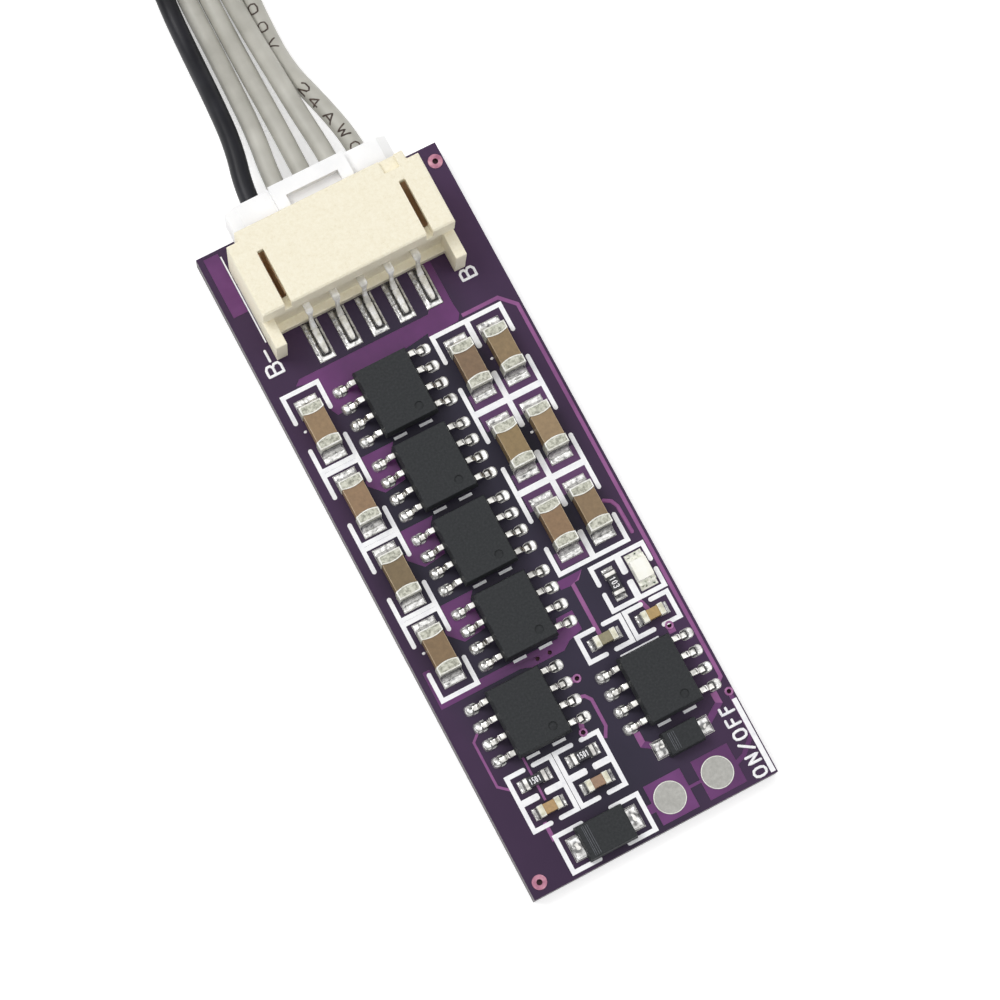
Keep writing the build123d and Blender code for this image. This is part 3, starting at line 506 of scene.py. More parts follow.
lead_metal = surface(
    "bright_tinned_leads", 0.2, 1.0,
    0.0006, [(0.35, "#bdbbb7"), (0.5, "#e6e4df"), (0.65, "#fdfcf8")], 2.0,
    skin=(0.00022, 0.000012, 2.0),
)
contact_metal = surface(
    "tinned_contacts", 0.28, 0.12,
    0.0005, [(0.35, "#d6d4cc"), (0.5, "#f0eee7"), (0.65, "#ffffff")], 2.0,
    skin=(0.0003, 0.000015, 2.0),
)
end_metal = surface(
    "barrel_tin_ends", 0.42, 0.25,
    0.00022, [(0.36, "#86867a"), (0.48, "#b5b5a6"), (0.6, "#d2d2c4")], 4.0, 0.65,
    skin=(0.00018, 0.00002),
)
small_end_metal = surface(
    "pale_small_ends", 0.42, 0.15, 0.0004, [(0.36, "#cbc8b2"), (0.5, "#e4e1cb"), (0.65, "#f3f1e2")],
)
end_edge = surface(
    "bright_end_edges", 0.36, 0.2, 0.0003, [(0.3, "#e2e1d6"), (0.55, "#f7f7f0"), (0.75, "#ffffff")],
)
frosted = surface(
    "frosted_round_tin", 0.5, 0.3,
    0.00022, [(0.3, "#a6a5a0"), (0.5, "#aeada8"), (0.7, "#b7b6b1")], 2.0, 0.6,
    skin=(0.00012, 0.000012, 2.0),
)
ring_metal = surface(
    "pink_copper_ring", 0.3, 0.2,
    0.0005, [(0.35, "#a0617a"), (0.55, "#be8096"), (0.75, "#d8a2b1")],
    skin=(0.0003, 0.00001, 2.0),
)
via_metal = surface(
    "violet_via_ring", 0.32, 0.1, 0.0004, [(0.35, "#8d5184"), (0.55, "#a4679a"), (0.75, "#b67dab")],
)
ink = surface(
    "white_ink", 0.62, 0.0,
    0.0005, [(0.25, "#ececf1"), (0.5, "#fafafc"), (0.75, "#ffffff")], 4.0, 0.6,
    skin=(0.00018, 0.000008),
)
brown_ink = surface(
    "brown_wire_ink", 0.55, 0.0, 0.0003, [(0.3, "#3a2f2b"), (0.55, "#4f423b"), (0.75, "#70625a")],
)
grey_mark = surface(
    "faint_grey_mark", 0.55, 0.0, 0.0003, [(0.3, "#4b4d52"), (0.55, "#585a60"), (0.75, "#66686e")],
)
print("materials so far", len(bpy.data.materials))

# %% [markdown]
# ### Plastics, ceramic and wire
#
# The header is cream nylon with fine specks, the plug is plain white nylon, and the chips are
# black epoxy with a sandblasted skin. Ceramic capacitors are brown and faintly speckled, each a
# little different, so each one gets its own shade.

# %% Plastics
cream = surface(
    "cream_nylon", 0.5, 0.0,
    0.0002, [(0.2, "#dfd6b7"), (0.38, "#f1e9d0"), (0.7, "#f9f3de")], 5.0, 0.7,
    skin=(0.0004, 0.00001, 4.0),
)

# Painted shade: the part of the plug that stands inside the header is coloured warm brown, as if in
# shade and lit only by the cream walls round it.
HEADER_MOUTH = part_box("header_housing")[1].y - 0.05 * MM
white_nylon = new_material("white_nylon", 0.42)
white_stops = [(0.3, "#f6f6f7"), (0.6, "#fdfdfd"), (0.8, "#ffffff")]
white_ramp = mottle(white_nylon, 0.002, white_stops)
spot = add_node(white_nylon, "ShaderNodeTexCoord")
spot_parts = add_node(white_nylon, "ShaderNodeSeparateXYZ")
join(white_nylon, spot, "Object", spot_parts, "Vector")
outside = calculate(white_nylon, "GREATER_THAN", (spot_parts, "Y"), HEADER_MOUTH)
painted_header_shade = colour_mix(
    white_nylon, (outside, "Value"), paint("#e2ba90"), (white_ramp, "Color"),
)
join(white_nylon, painted_header_shade, MIX_RESULT, shader_of(white_nylon), "Base Color")
bumps(white_nylon, 0.0005, 0.00001)

epoxy = surface(
    "black_epoxy", 0.56, 0.0,
    0.00016, [(0.3, "#2b2d2f"), (0.5, "#303234"), (0.7, "#36383a")], 3.0, 0.6,
    skin=(0.00012, 0.000012), specular=0.2,
)
dark_glaze = surface(
    "resistor_glaze", 0.35, 0.0, 0.0003, [(0.3, "#1d1d22"), (0.55, "#2a2a2f"), (0.75, "#3a3a40")],
)
INSULATION_SKIN = (0.0004, 0.000012, 3.0, 0.5, (1, 0.25, 1))
grey_rubber = surface(
    "grey_insulation", 0.45, 0.0,
    0.0025, [(0.3, "#aaa89f"), (0.55, "#b8b6ad"), (0.75, "#c2c0b7")], skin=INSULATION_SKIN,
)
black_rubber = surface(
    "black_insulation", 0.42, 0.0,
    0.0025, [(0.3, "#1c1c20"), (0.55, "#222227"), (0.75, "#2c2c31")],
    skin=INSULATION_SKIN, specular=0.25,
)
lens_resin = surface(
    "milky_lens", 0.3, 0.0,
    0.0009, [(0.3, "#f8f6e8"), (0.55, "#fdfcf3"), (0.75, "#fffffa")],
    skin=(0.0005, 0.00001, 2.0),
)
notch_metal = surface(
    "speckled_notches", 0.3, 0.2,
    0.00024, [(0.34, "#31433a"), (0.4, "#dcdfce"), (0.55, "#faf9ef")], 3.0, 0.6,
)
# Painted shadow: the dark colour that fills the holes.
hole_shadow = surface(
    "painted_hole_shadow", 0.6, 0.0, 0.0002, [(0.3, "#3a1a26"), (0.7, "#552a38")], 2.0,
)
print("materials so far", len(bpy.data.materials))

# %% [markdown]
# ### Stage and light
#
# The board lies on plain white. Two big soft lamps and the world light it. A metal shows what it
# mirrors, so the world isn't even: it is bright overhead, dark half way down and pale near the
# horizon, and that is what draws the dark and bright lines along the solder. The floor shines
# white where the camera or a reflection sees it, and for all other rays it is an ordinary pale
# surface that keeps the soft shadow.

# %% Floor, world and lamps
FLOOR_HALF = 1.5
FLOOR_DROP = 0.02 * MM
PAPER_GLOW = 0.4
SKY_STRENGTH = 1.1
SKY_STOPS = [(0.0, 0.75), (0.22, 0.9), (0.36, 0.16), (0.6, 0.12), (0.8, 0.6), (0.92, 1.05)]

scene = bpy.context.scene
scene.view_settings.view_transform = "Standard"

floor_maker = bmesh.new()
bmesh.ops.create_grid(floor_maker, x_segments=1, y_segments=1, size=FLOOR_HALF)
floor_mesh = bpy.data.meshes.new("floor")
floor_maker.to_mesh(floor_mesh)
floor_maker.free()
floor = bpy.data.objects.new("floor", floor_mesh)
floor.location.z = -FLOOR_DROP
scene.collection.objects.link(floor)

paper = surface("white_paper", 0.8, 0.0, 0.05, [(0.3, "#fafafa"), (0.7, "#fefefe")], 2.0)
rays = add_node(paper, "ShaderNodeLightPath")
seen = calculate(paper, "MAXIMUM", (rays, "Is Camera Ray"), (rays, "Is Glossy Ray"))
glow = calculate(paper, "MULTIPLY", (seen, "Value"), PAPER_GLOW)
shader_of(paper).inputs["Emission Color"].default_value = (1, 1, 1, 1)
join(paper, glow, "Value", shader_of(paper), "Emission Strength")
floor_mesh.materials.append(paper)

world = bpy.data.worlds.new("bright_overhead")
world.use_nodes = True
direction = add_node(world, "ShaderNodeTexCoord")
apart = add_node(world, "ShaderNodeSeparateXYZ")
join(world, direction, "Generated", apart, "Vector")
sky_stops = [(height, (value, value, value, 1)) for height, value in SKY_STOPS]
sky = colour_ramp(world, apart, "Z", sky_stops)
background = world.node_tree.nodes["Background"]
background.inputs["Strength"].default_value = SKY_STRENGTH
join(world, sky, "Color", background, "Color")
scene.world = world


def soft_lamp(name, place, size, power):
    """A square area lamp that faces the middle of the board."""
    data = bpy.data.lights.new(name, "AREA")
    data.size = size
    data.energy = power
    lamp = bpy.data.objects.new(name, data)
    lamp.location = place
    lamp.rotation_euler = (-Vector(place)).to_track_quat("-Z", "Y").to_euler()
    scene.collection.objects.link(lamp)


soft_lamp("key_lamp", (-0.25, 0.28, 0.5), 0.28, 1.5)
soft_lamp("fill_lamp", (0.35, -0.2, 0.45), 0.35, 0.55)

# %% [markdown]
# ## Dressing the solids
#
# Real moulded edges are never knife sharp. The solids may not be changed, but a modifier may
# round their edges for the eye: first their loose corners are welded together, then a narrow
# bevel is cut along every edge that turns sharply. The bevel may carry a second material, which
# paints a highlight along the rounded edges: the bright outline on the ends of the capacitors.

# %% Put the finishes on
CHIPS = range(1, 7)
WELD_DISTANCE = 1e-6
LEAST_TURN = math.radians(25)
CERAMIC_LIGHT, CERAMIC_DARK = 1.12, 0.86


def dress(name, material, rounding=0.0, segments=2, edge=None):
    """Gives a solid its finish and, if asked, softly rounded edges."""
    piece = nodes[name]
    piece.data.materials.clear()
    piece.data.materials.append(material)
    if edge:
        piece.data.materials.append(edge)
    if rounding:
        weld = piece.modifiers.new("weld", "WELD")
        weld.merge_threshold = WELD_DISTANCE
        bevel = piece.modifiers.new("rounding", "BEVEL")
        bevel.width = rounding
        bevel.segments = segments
        bevel.limit_method = "ANGLE"
        bevel.angle_limit = LEAST_TURN
        if edge:
            bevel.material = 1


dress("circuit_board", mask)
dress("copper_areas", copper, 0.00004, 1, track_copper)
dress("tinned_lands", tin)
dress("switch_lands", frosted)
dress("tooling_hole_rings", ring_metal)
dress("legend_print", ink)
dress("header_housing", cream, 0.00008)
dress("plug_housing", white_nylon, 0.0001)
for name in ("header_solder_tabs", "plug_terminals"):
    dress(name, contact_metal, 0.00005)
moulded = [f"chip_{number}_body" for number in CHIPS]
for name in moulded + ["large_diode_body", "small_diode_body"]:
    dress(name, epoxy, 0.00006)
for name in ("large_diode_tabs", "small_diode_tabs"):
    dress(name, lead_metal, 0.00005)
dress("indicator_light_terminals", notch_metal, 0.00003)
dress("indicator_light_base", lens_resin, 0.00003)
dress("indicator_light_lens", lens_resin, 0.00008)
# Painted highlight: the rounded edges of the capacitor ends get the bright edge material.
dress("balance_capacitor_ends", end_metal, 0.0001, 3, end_edge)
dress("small_capacitor_ends", small_end_metal, 0.00008, 3, end_edge)
for name in ("timing_resistor_ends", "light_resistor_ends"):
    dress(name, lead_metal, 0.00005)
for name in ("timing_resistor_1", "timing_resistor_2", "light_resistor"):
    dress(name, dark_glaze, 0.00003)

BALANCE_SHADES = [
    "#8f7555", "#8d7153", "#756345", "#7e6647", "#7b634a",
    "#887251", "#8b754f", "#947c5b", "#896d4f", "#856e50",
]
SMALL_SHADES = ["#b19163", "#9c7e65", "#90896d", "#b19460"]


def ceramic(name, shade, grain):
    """Brown ceramic that wanders a little around one shade."""
    material = new_material(name, 0.42)
    light = tuple(min(1.0, value * CERAMIC_LIGHT) for value in paint(shade)[:3]) + (1.0,)
    dark = tuple(value * CERAMIC_DARK for value in paint(shade)[:3]) + (1.0,)
    texture = noise(material, grain, 4.0, 0.6)
    ramp = colour_ramp(material, texture, "Fac", [(0.3, dark), (0.7, light)])
    join(material, ramp, "Color", shader_of(material), "Base Color")
    bumps(material, grain, 0.00001)
    return material


# Painted highlight: the rounded edges of the ceramic bodies get a paler colour.
ceramic_edge_highlight = surface(
    "painted_ceramic_edge_highlight", 0.4, 0.0, 0.0004, [(0.3, "#b39c7c"), (0.7, "#cbb797")],
)
for number, shade in enumerate(BALANCE_SHADES, start=1):
    body = ceramic(f"capacitor_ceramic_{number}", shade, 0.0003)
    dress(f"balance_capacitor_{number}", body, 0.00005, 2, ceramic_edge_highlight)
for number, shade in enumerate(SMALL_SHADES, start=1):
    dress(f"small_capacitor_{number}", ceramic(f"small_ceramic_{number}", shade, 0.0002), 0.00004)

for name, wire in wires.items():
    wire.data.materials.append(black_rubber if name == "black_lead" else grey_rubber)
for tip in wire_tips.values():
    tip.data.materials.append(lead_metal)
print("solids dressed", len(nodes))

# %% [markdown]
# ## Finding places in the solids
#
# Solder sits where a terminal stands on a land. Instead of copying those places by hand we read
# them from the solids: the corners of a mesh that hang together form one small solid, and the
# box around it says where it is.

# %% Boxes of the separate solids
FACES_UP = 0.9
TRACK_WIDEST = 0.6 * MM


def welded(name):
    """A node's mesh in its place, with its loose corners welded together."""
    maker = bmesh.new()
    maker.from_mesh(nodes[name].data)
    maker.transform(nodes[name].matrix_world)
    bmesh.ops.remove_doubles(maker, verts=maker.verts, dist=WELD_DISTANCE)
    maker.normal_update()
    return maker


def groups_of(items, neighbours):
    """Sorts corners or faces into groups that hang together."""
    left = set(items)
    for start in items:
        if start not in left:
            continue
        left.remove(start)
        group = [start]
        for item in group:
            for other in neighbours(item):
                if other in left:
                    left.remove(other)
                    group.append(other)
        yield group


def box_of(vertices):
    """The low and the high corner of the box around some vertices."""
    low, high = (
        Vector([pick(vertex.co[axis] for vertex in vertices) for axis in range(3)])
        for pick in (min, max)
    )
    return low, high


def middle_of(box):
    """The middle between two corners."""
    return (box[0] + box[1]) / 2


def by_place(entry):
    """The order of a list: by its place along the board, then across it."""
    return round(entry[0].y, 5), round(entry[0].x, 5)


def islands(name, widest=None):
    """Boxes (low corner, high corner) of a node's separate solids, in order of place.

    With a widest value, only solids whose mean width on top is less than that are listed.
    """
    maker = welded(name)
    boxes = []
    for group in groups_of(maker.verts, lambda v: [edge.other_vert(v) for edge in v.link_edges]):
        low, high = box_of(group)
        if widest:
            faces = {face for vertex in group for face in vertex.link_faces}
            area = sum(face.calc_area() for face in faces if face.normal.z > FACES_UP)
            if area / max(high.x - low.x, high.y - low.y) > widest:
                continue
        boxes.append((low, high))
    maker.free()
    return sorted(boxes, key=by_place)


def over(spot, boxes):
    """Whether a spot lies over one of the boxes."""
    return any(low.x <= spot.x <= high.x and low.y <= spot.y <= high.y for low, high in boxes)


# The narrow lines of copper get the node's second, lighter material.
board_copper = nodes["copper_areas"]
tracks = islands("copper_areas", TRACK_WIDEST)
pours = [box for box in islands("copper_areas") if box not in tracks]
for face in board_copper.data.polygons:
    spot = board_copper.matrix_world @ face.center
    if over(spot, tracks) and not over(spot, pours):
        face.material_index = 1
lands = islands("tinned_lands")
print("light tracks", len(tracks), "lands", len(lands))

# %% [markdown]
# ## Bent metal
#
# A stamped lead is a flat strip that was bent, and its bends are round. We walk along its middle
# line in stations. Each station says how far out and how high it is, and how wide and thick the
# strip is there, and a rounded section is set across the line at each of them.

# %% Chip leads and header contacts
SECTION_POINTS = 20
SQUARENESS_ACROSS, SQUARENESS_UP = 0.35, 0.55


def section():
    """A flattened round outline, from -1 to 1 both ways."""
    outline = []
    for step in range(SECTION_POINTS):
        angle = (step + 0.5) / SECTION_POINTS * 2 * math.pi
        across = math.copysign(abs(math.cos(angle)) ** SQUARENESS_ACROSS, math.cos(angle))
        upward = math.copysign(abs(math.sin(angle)) ** SQUARENESS_UP, math.sin(angle))
        outline.append((across, upward))
    return outline


def bent_strip(maker, start, out, stations):
    """Adds a strip whose stations are (out, up, width, thickness) in millimetres."""
    across = UP.cross(out)
    rings = []
    for index, (reach, rise, width, thickness) in enumerate(stations):
        before = stations[max(index - 1, 0)]
        after = stations[min(index + 1, len(stations) - 1)]
        along = (out * (after[0] - before[0]) + UP * (after[1] - before[1])).normalized()
        normal = along.cross(across)
        centre = start + (out * reach + UP * rise) * MM
        rings.append([
            centre + (across * (u * width) + normal * (v * thickness)) * (MM / 2)
            for u, v in section()
        ])
    ring_tube(maker, rings)


CHIP_LEAD_STATIONS = [
    (-0.03, 0.825, 0.41, 0.2), (0.1, 0.825, 0.41, 0.2), (0.36, 0.825, 0.42, 0.2),
    (0.44, 0.8, 0.42, 0.2), (0.5, 0.745, 0.42, 0.19), (0.54, 0.66, 0.41, 0.18),
    (0.575, 0.52, 0.4, 0.18), (0.605, 0.36, 0.4, 0.18), (0.64, 0.23, 0.41, 0.18),
    (0.7, 0.145, 0.41, 0.19), (0.78, 0.11, 0.41, 0.2), (0.95, 0.1, 0.41, 0.2),
    (1.07, 0.1, 0.4, 0.2), (1.11, 0.1, 0.36, 0.15), (1.12, 0.1, 0.3, 0.08),
]
CHIP_HALF_WIDTH = 0.00195
for number in CHIPS:
    chip_x = middle_of(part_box(f"chip_{number}_body")).x
    maker = bmesh.new()
    for low, high in islands(f"chip_{number}_leads"):
        middle = middle_of((low, high))
        side = 1 if middle.x > chip_x else -1
        wall = Vector((chip_x + side * CHIP_HALF_WIDTH, middle.y, SEAT))
        bent_strip(maker, wall, Vector((side, 0, 0)), CHIP_LEAD_STATIONS)
    piece = link_mesh(f"chip_{number}_smooth_leads", maker, lead_metal)
    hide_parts(f"chip_{number}_leads")

CONTACT_STATIONS = [
    (-0.3, 2.65, 0.5, 0.3), (0.1, 2.66, 0.52, 0.34), (0.26, 2.68, 0.56, 0.37),
    (0.36, 2.65, 0.56, 0.36), (0.44, 2.55, 0.5, 0.33), (0.5, 2.38, 0.36, 0.29),
    (0.525, 2.1, 0.3, 0.26), (0.54, 1.6, 0.29, 0.24), (0.59, 1.15, 0.31, 0.24),
    (0.72, 0.78, 0.36, 0.24), (0.9, 0.48, 0.42, 0.24), (1.02, 0.34, 0.46, 0.24),
    (1.07, 0.29, 0.47, 0.24), (1.11, 0.25, 0.32, 0.16), (1.16, 0.22, 0.42, 0.28),
    (1.24, 0.2, 0.48, 0.36), (2.0, 0.19, 0.43, 0.36), (2.5, 0.185, 0.4, 0.36),
    (2.75, 0.18, 0.36, 0.34), (2.87, 0.17, 0.28, 0.3), (2.93, 0.165, 0.16, 0.2),
]
CONTACT_WALL_Y = 0.01725
CONTACT_ASIDE = 0.0001
maker = bmesh.new()
contact_boxes = islands("header_contacts")
for box in contact_boxes:
    wall = Vector((middle_of(box).x + CONTACT_ASIDE, CONTACT_WALL_Y, SEAT))
    bent_strip(maker, wall, Vector((0, -1, 0)), CONTACT_STATIONS)
smooth_contacts = link_mesh("header_smooth_contacts", maker, contact_metal)
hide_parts("header_contacts")
print("chips with smooth leads", len(CHIPS), "smooth contacts", len(contact_boxes))

# %% [markdown]
# ## Solder
#
# Solder climbs up a terminal and thins out towards the edge of its land. That is a height for
# every spot on the land: the nearer to the terminal's foot, the higher. We lay a fine grid over
# each land, lift it by that rule, add a little crumple, and close it below. Where the land's edge
# is near, the skin rolls over in a round lip.

# %% Solder shapes
# The rules for heights work in millimetres, so lengths without MM are in millimetres.
PATCH_INSET = 0.01 * MM
PATCH_LIFT = 0.003 * MM
PATCH_SINK = 0.01 * MM
LIP_WIDTH = 0.07 * MM
LEAST_CELLS = 6
CLIMB_BEND = 2.2
THIN_AT_EDGE = 0.12
GROOVE_CORE = 0.35
FOLD_WIDTH = 0.22
LAND_GROWTH = Vector((0.04, 0.04, 0)) * MM
DROP_REACH = 0.37 * MM
DROP_RADII = (0.36 * MM, 0.385 * MM)
DROP_HEIGHT = 0.3


def away_from(low, high, x, y):
    """Distance from a spot to a rectangle on the board."""
    return math.hypot(max(low.x - x, 0, x - high.x), max(low.y - y, 0, y - high.y))


def ease(value, start, end):
    """Runs smoothly from 0 at start to 1 at end."""
    share = min(1.0, max(0.0, (value - start) / (end - start)))
    return share * share * (3 - 2 * share)


def heap(maker, land, corner, cell, rule):
    """Adds a closed patch over a land. The rule gives height and shade for (x, y, edge)."""
    shade = maker.verts.layers.float.get("shade") or maker.verts.layers.float.new("shade")
    low, high = land
    middle = middle_of(land)
    half_x = (high.x - low.x) / 2 - PATCH_INSET
    half_y = (high.y - low.y) / 2 - PATCH_INSET
    columns = max(LEAST_CELLS, round(2 * half_x / cell))
    rows = max(LEAST_CELLS, round(2 * half_y / cell))
    grid = []
    for row in range(rows + 1):
        y = half_y * (2 * row / rows - 1)
        past = max(0.0, abs(y) - (half_y - corner))
        wide = half_x - corner + math.sqrt(max(0.0, corner ** 2 - past ** 2))
        line = []
        for column in range(columns + 1):
            x = wide * (2 * column / columns - 1)
            edge = min(wide - abs(x), half_y - abs(y))
            height, tone = rule(middle.x + x, middle.y + y, edge)
            lip = math.sqrt(max(0.0, 1 - (1 - min(edge / LIP_WIDTH, 1)) ** 2))
            level = SEAT + PATCH_LIFT + height * lip
            vertex = maker.verts.new((middle.x + x, middle.y + y, level))
            vertex[shade] = tone
            line.append(vertex)
        grid.append(line)
    for lower, upper in zip(grid, grid[1:]):
        for i in range(columns):
            maker.faces.new((lower[i], lower[i + 1], upper[i + 1], upper[i]))
    rim = grid[0][:-1] + [line[-1] for line in grid[:-1]]
    rim += grid[-1][:0:-1] + [line[0] for line in grid[:0:-1]]
    under = []
    for vertex in rim:
        below = maker.verts.new((vertex.co.x, vertex.co.y, SEAT - PATCH_SINK))
        below[shade] = vertex[shade]
        under.append(below)
    for i in range(len(rim)):
        j = (i + 1) % len(rim)
        maker.faces.new((rim[i], under[i], under[j], rim[j]))
    maker.faces.new(under)


def crumple(x, y, grain, seed):
    """Smooth noise between about -1 and 1 whose folds are this many millimetres wide."""
    return field.noise(Vector((x / MM / grain, y / MM / grain, seed)))


def meniscus(foot, rise, spread, groove, film, fold, seed, least=0.08):
    """A rule for solder that climbs a foot: height and painted shade at each spot."""
    low, high = foot

    def rule(x, y, edge):
        away = away_from(low, high, x, y) / MM
        climb = rise * max(0.0, 1 - away / spread) ** CLIMB_BEND
        climb *= min(1.0, edge / MM / THIN_AT_EDGE)
        wrinkle = fold * crumple(x, y, FOLD_WIDTH, seed)
        # Painted shade: dark in the groove next to the foot, full brightness beyond it.
        tone = least + (1 - least) * ease(away, groove * GROOVE_CORE, groove)
        return (climb + film + wrinkle) * MM, tone

    return rule


def beside_contact(foot, seed):
    """A rule for the land of a header contact, whose colour is darker to the left of its foot."""
    around = meniscus(foot, 0.14, 0.3, 0.16, 0.025, 0.02, seed)

    def rule(x, y, edge):
        height, tone = around(x, y, edge)
        left = ease((foot[0].x - x) / MM, 0.02, 0.12)
        behind_tip = ease((y - foot[0].y) / MM, 0.0, 0.35)
        return height, tone * (1 - 0.5 * left * behind_tip)

    return rule


def drop_of_solder(foot, centre, radius, rise, seed):
    """A rule for a domed drop at the outer end of a lead."""
    around = meniscus(foot, 0.1, 0.3, 0.1, 0.04, 0.01, seed)

    def rule(x, y, edge):
        height, tone = around(x, y, edge)
        share = math.hypot((x - centre[0]) / radius[0], (y - centre[1]) / radius[1])
        dome = rise * math.sqrt(max(0.0, 1 - share ** 2)) * MM
        dome *= 1 + 0.05 * crumple(x, y, 0.3, seed)
        # Painted reflection: dark spots on the dome stand for the dark parts of the room that it
        # mirrors.
        painted_dark_spot = ease(crumple(x, y, FOLD_WIDTH, seed + 3), 0.3, 0.5)
        if dome > height:
            return dome, 1 - 0.6 * painted_dark_spot
        return height, tone

    return rule


def star_of_solder(land, seed):
    """A rule for solder that covers a flat tab, with painted reflections of bright rays to its
    corners and painted shade between them.
    """
    middle = middle_of(land)
    half = (land[1] - land[0]) / 2

    def rule(x, y, edge):
        u = (x - middle.x) / half.x
        v = (y - middle.y) / half.y
        sag = 0.2 + 0.09 * (u * u + v * v) * 0.5 + 0.03 * crumple(x, y, 0.3, seed)
        rays = abs(u * v) * 1.5 + 0.7 * abs(v) * abs(v) + 0.45 * crumple(x, y, 0.26, seed + 5)
        height = sag * ease(edge / MM, -0.06, 0.2)
        return height * MM, 0.22 + 0.78 * ease(rays, 0.02, 0.5)

    return rule


def shared_foot(land, terminal):
    """The part of a land that a terminal covers."""
    low = Vector((max(land[0].x, terminal[0].x), max(land[0].y, terminal[0].y), 0))
    high = Vector((min(land[1].x, terminal[1].x), min(land[1].y, terminal[1].y), 0))
    return (low, high) if low.x < high.x and low.y < high.y else None


def feet_of(name):
    """Pairs of a land and the rectangle where one of this node's solids stands on it."""
    pairs = []
    for terminal in islands(name):
        for land in lands:
            foot = shared_foot(land, terminal)
            if foot:
                pairs.append((land, foot))
    return pairs


solder_pieces = []


def solder_piece(name, material, maker):
    """Links a finished patch of solder."""
    piece = link_mesh(name, maker, material)
    solder_pieces.append(piece)


for number in CHIPS:
    chip_x = middle_of(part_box(f"chip_{number}_body")).x
    maker = bmesh.new()
    for index, (land, foot) in enumerate(feet_of(f"chip_{number}_leads")):
        seed = number * 8 + index
        if foot[0].x > chip_x:
            rule = meniscus(foot, 0.1, 0.3, 0.14, 0.06, 0.015, seed)
        else:
            land = (land[0] - LAND_GROWTH, land[1] + LAND_GROWTH)
            centre = (land[0].x + DROP_REACH, middle_of(land).y)
            rule = drop_of_solder(foot, centre, DROP_RADII, DROP_HEIGHT, seed)
        heap(maker, land, 0.3 * MM, 0.04 * MM, rule)
    solder_piece(f"chip_{number}_solder", solder, maker)

maker = bmesh.new()
contact_shift = Vector((CONTACT_ASIDE, 0, 0))
for index, (land, foot) in enumerate(feet_of("header_contacts")):
    foot = (foot[0] + contact_shift, foot[1] + contact_shift)
    heap(maker, land, 0.02 * MM, 0.045 * MM, beside_contact(foot, 60 + index))
for index, (land, foot) in enumerate(feet_of("header_solder_tabs")):
    rule = meniscus(foot, 0.5, 0.4, 0.12, 0.03, 0.03, 70 + index)
    heap(maker, land, 0.05 * MM, 0.06 * MM, rule)
solder_piece("header_solder", old_solder, maker)

# Rise, spread, groove, film and fold of each rule, in millimetres.
FILLETS = {
    "balance_capacitor_ends": (0.8, 0.45, 0.2, 0.06, 0.035, old_solder),
    "small_capacitor_ends": (0.4, 0.3, 0.2, 0.03, 0.04, old_solder),
    "timing_resistor_ends": (0.3, 0.3, 0.14, 0.03, 0.04, old_solder),
    "light_resistor_ends": (0.3, 0.3, 0.14, 0.03, 0.04, old_solder),
    "indicator_light_terminals": (0.2, 0.3, 0.06, 0.03, 0.03, notch_metal),
}
for order, (name, (rise, spread, groove, film, fold, material)) in enumerate(FILLETS.items()):
    maker = bmesh.new()
    for index, (land, foot) in enumerate(feet_of(name)):
        rule = meniscus(foot, rise, spread, groove, film, fold, 100 + order * 20 + index, 0.25)
        heap(maker, land, 0.04 * MM, 0.05 * MM, rule)
    solder_piece(name + "_solder", material, maker)
maker = bmesh.new()
for name in ("large_diode_tabs", "small_diode_tabs"):
    for index, (land, foot) in enumerate(feet_of(name)):
        heap(maker, land, 0.04 * MM, 0.045 * MM, star_of_solder(land, 300 + index + len(name)))
solder_piece("diode_solder", solder, maker)
faces = sum(len(piece.data.polygons) for piece in solder_pieces)
print("solder pieces", len(solder_pieces), "faces", faces)

# %% [markdown]
# ## Small print
#
# Letters on a board are drawn with one round nib. Each letter is a few strokes in a square from
# 0 to 1, and a stroke becomes a thin ribbon with round ends. The same ribbons serve for the
# words on the board, the digits on the resistors and the print on the wires. Only the rule that
# puts a flat spot in space is different, and on a wire that rule wraps the letters round it.

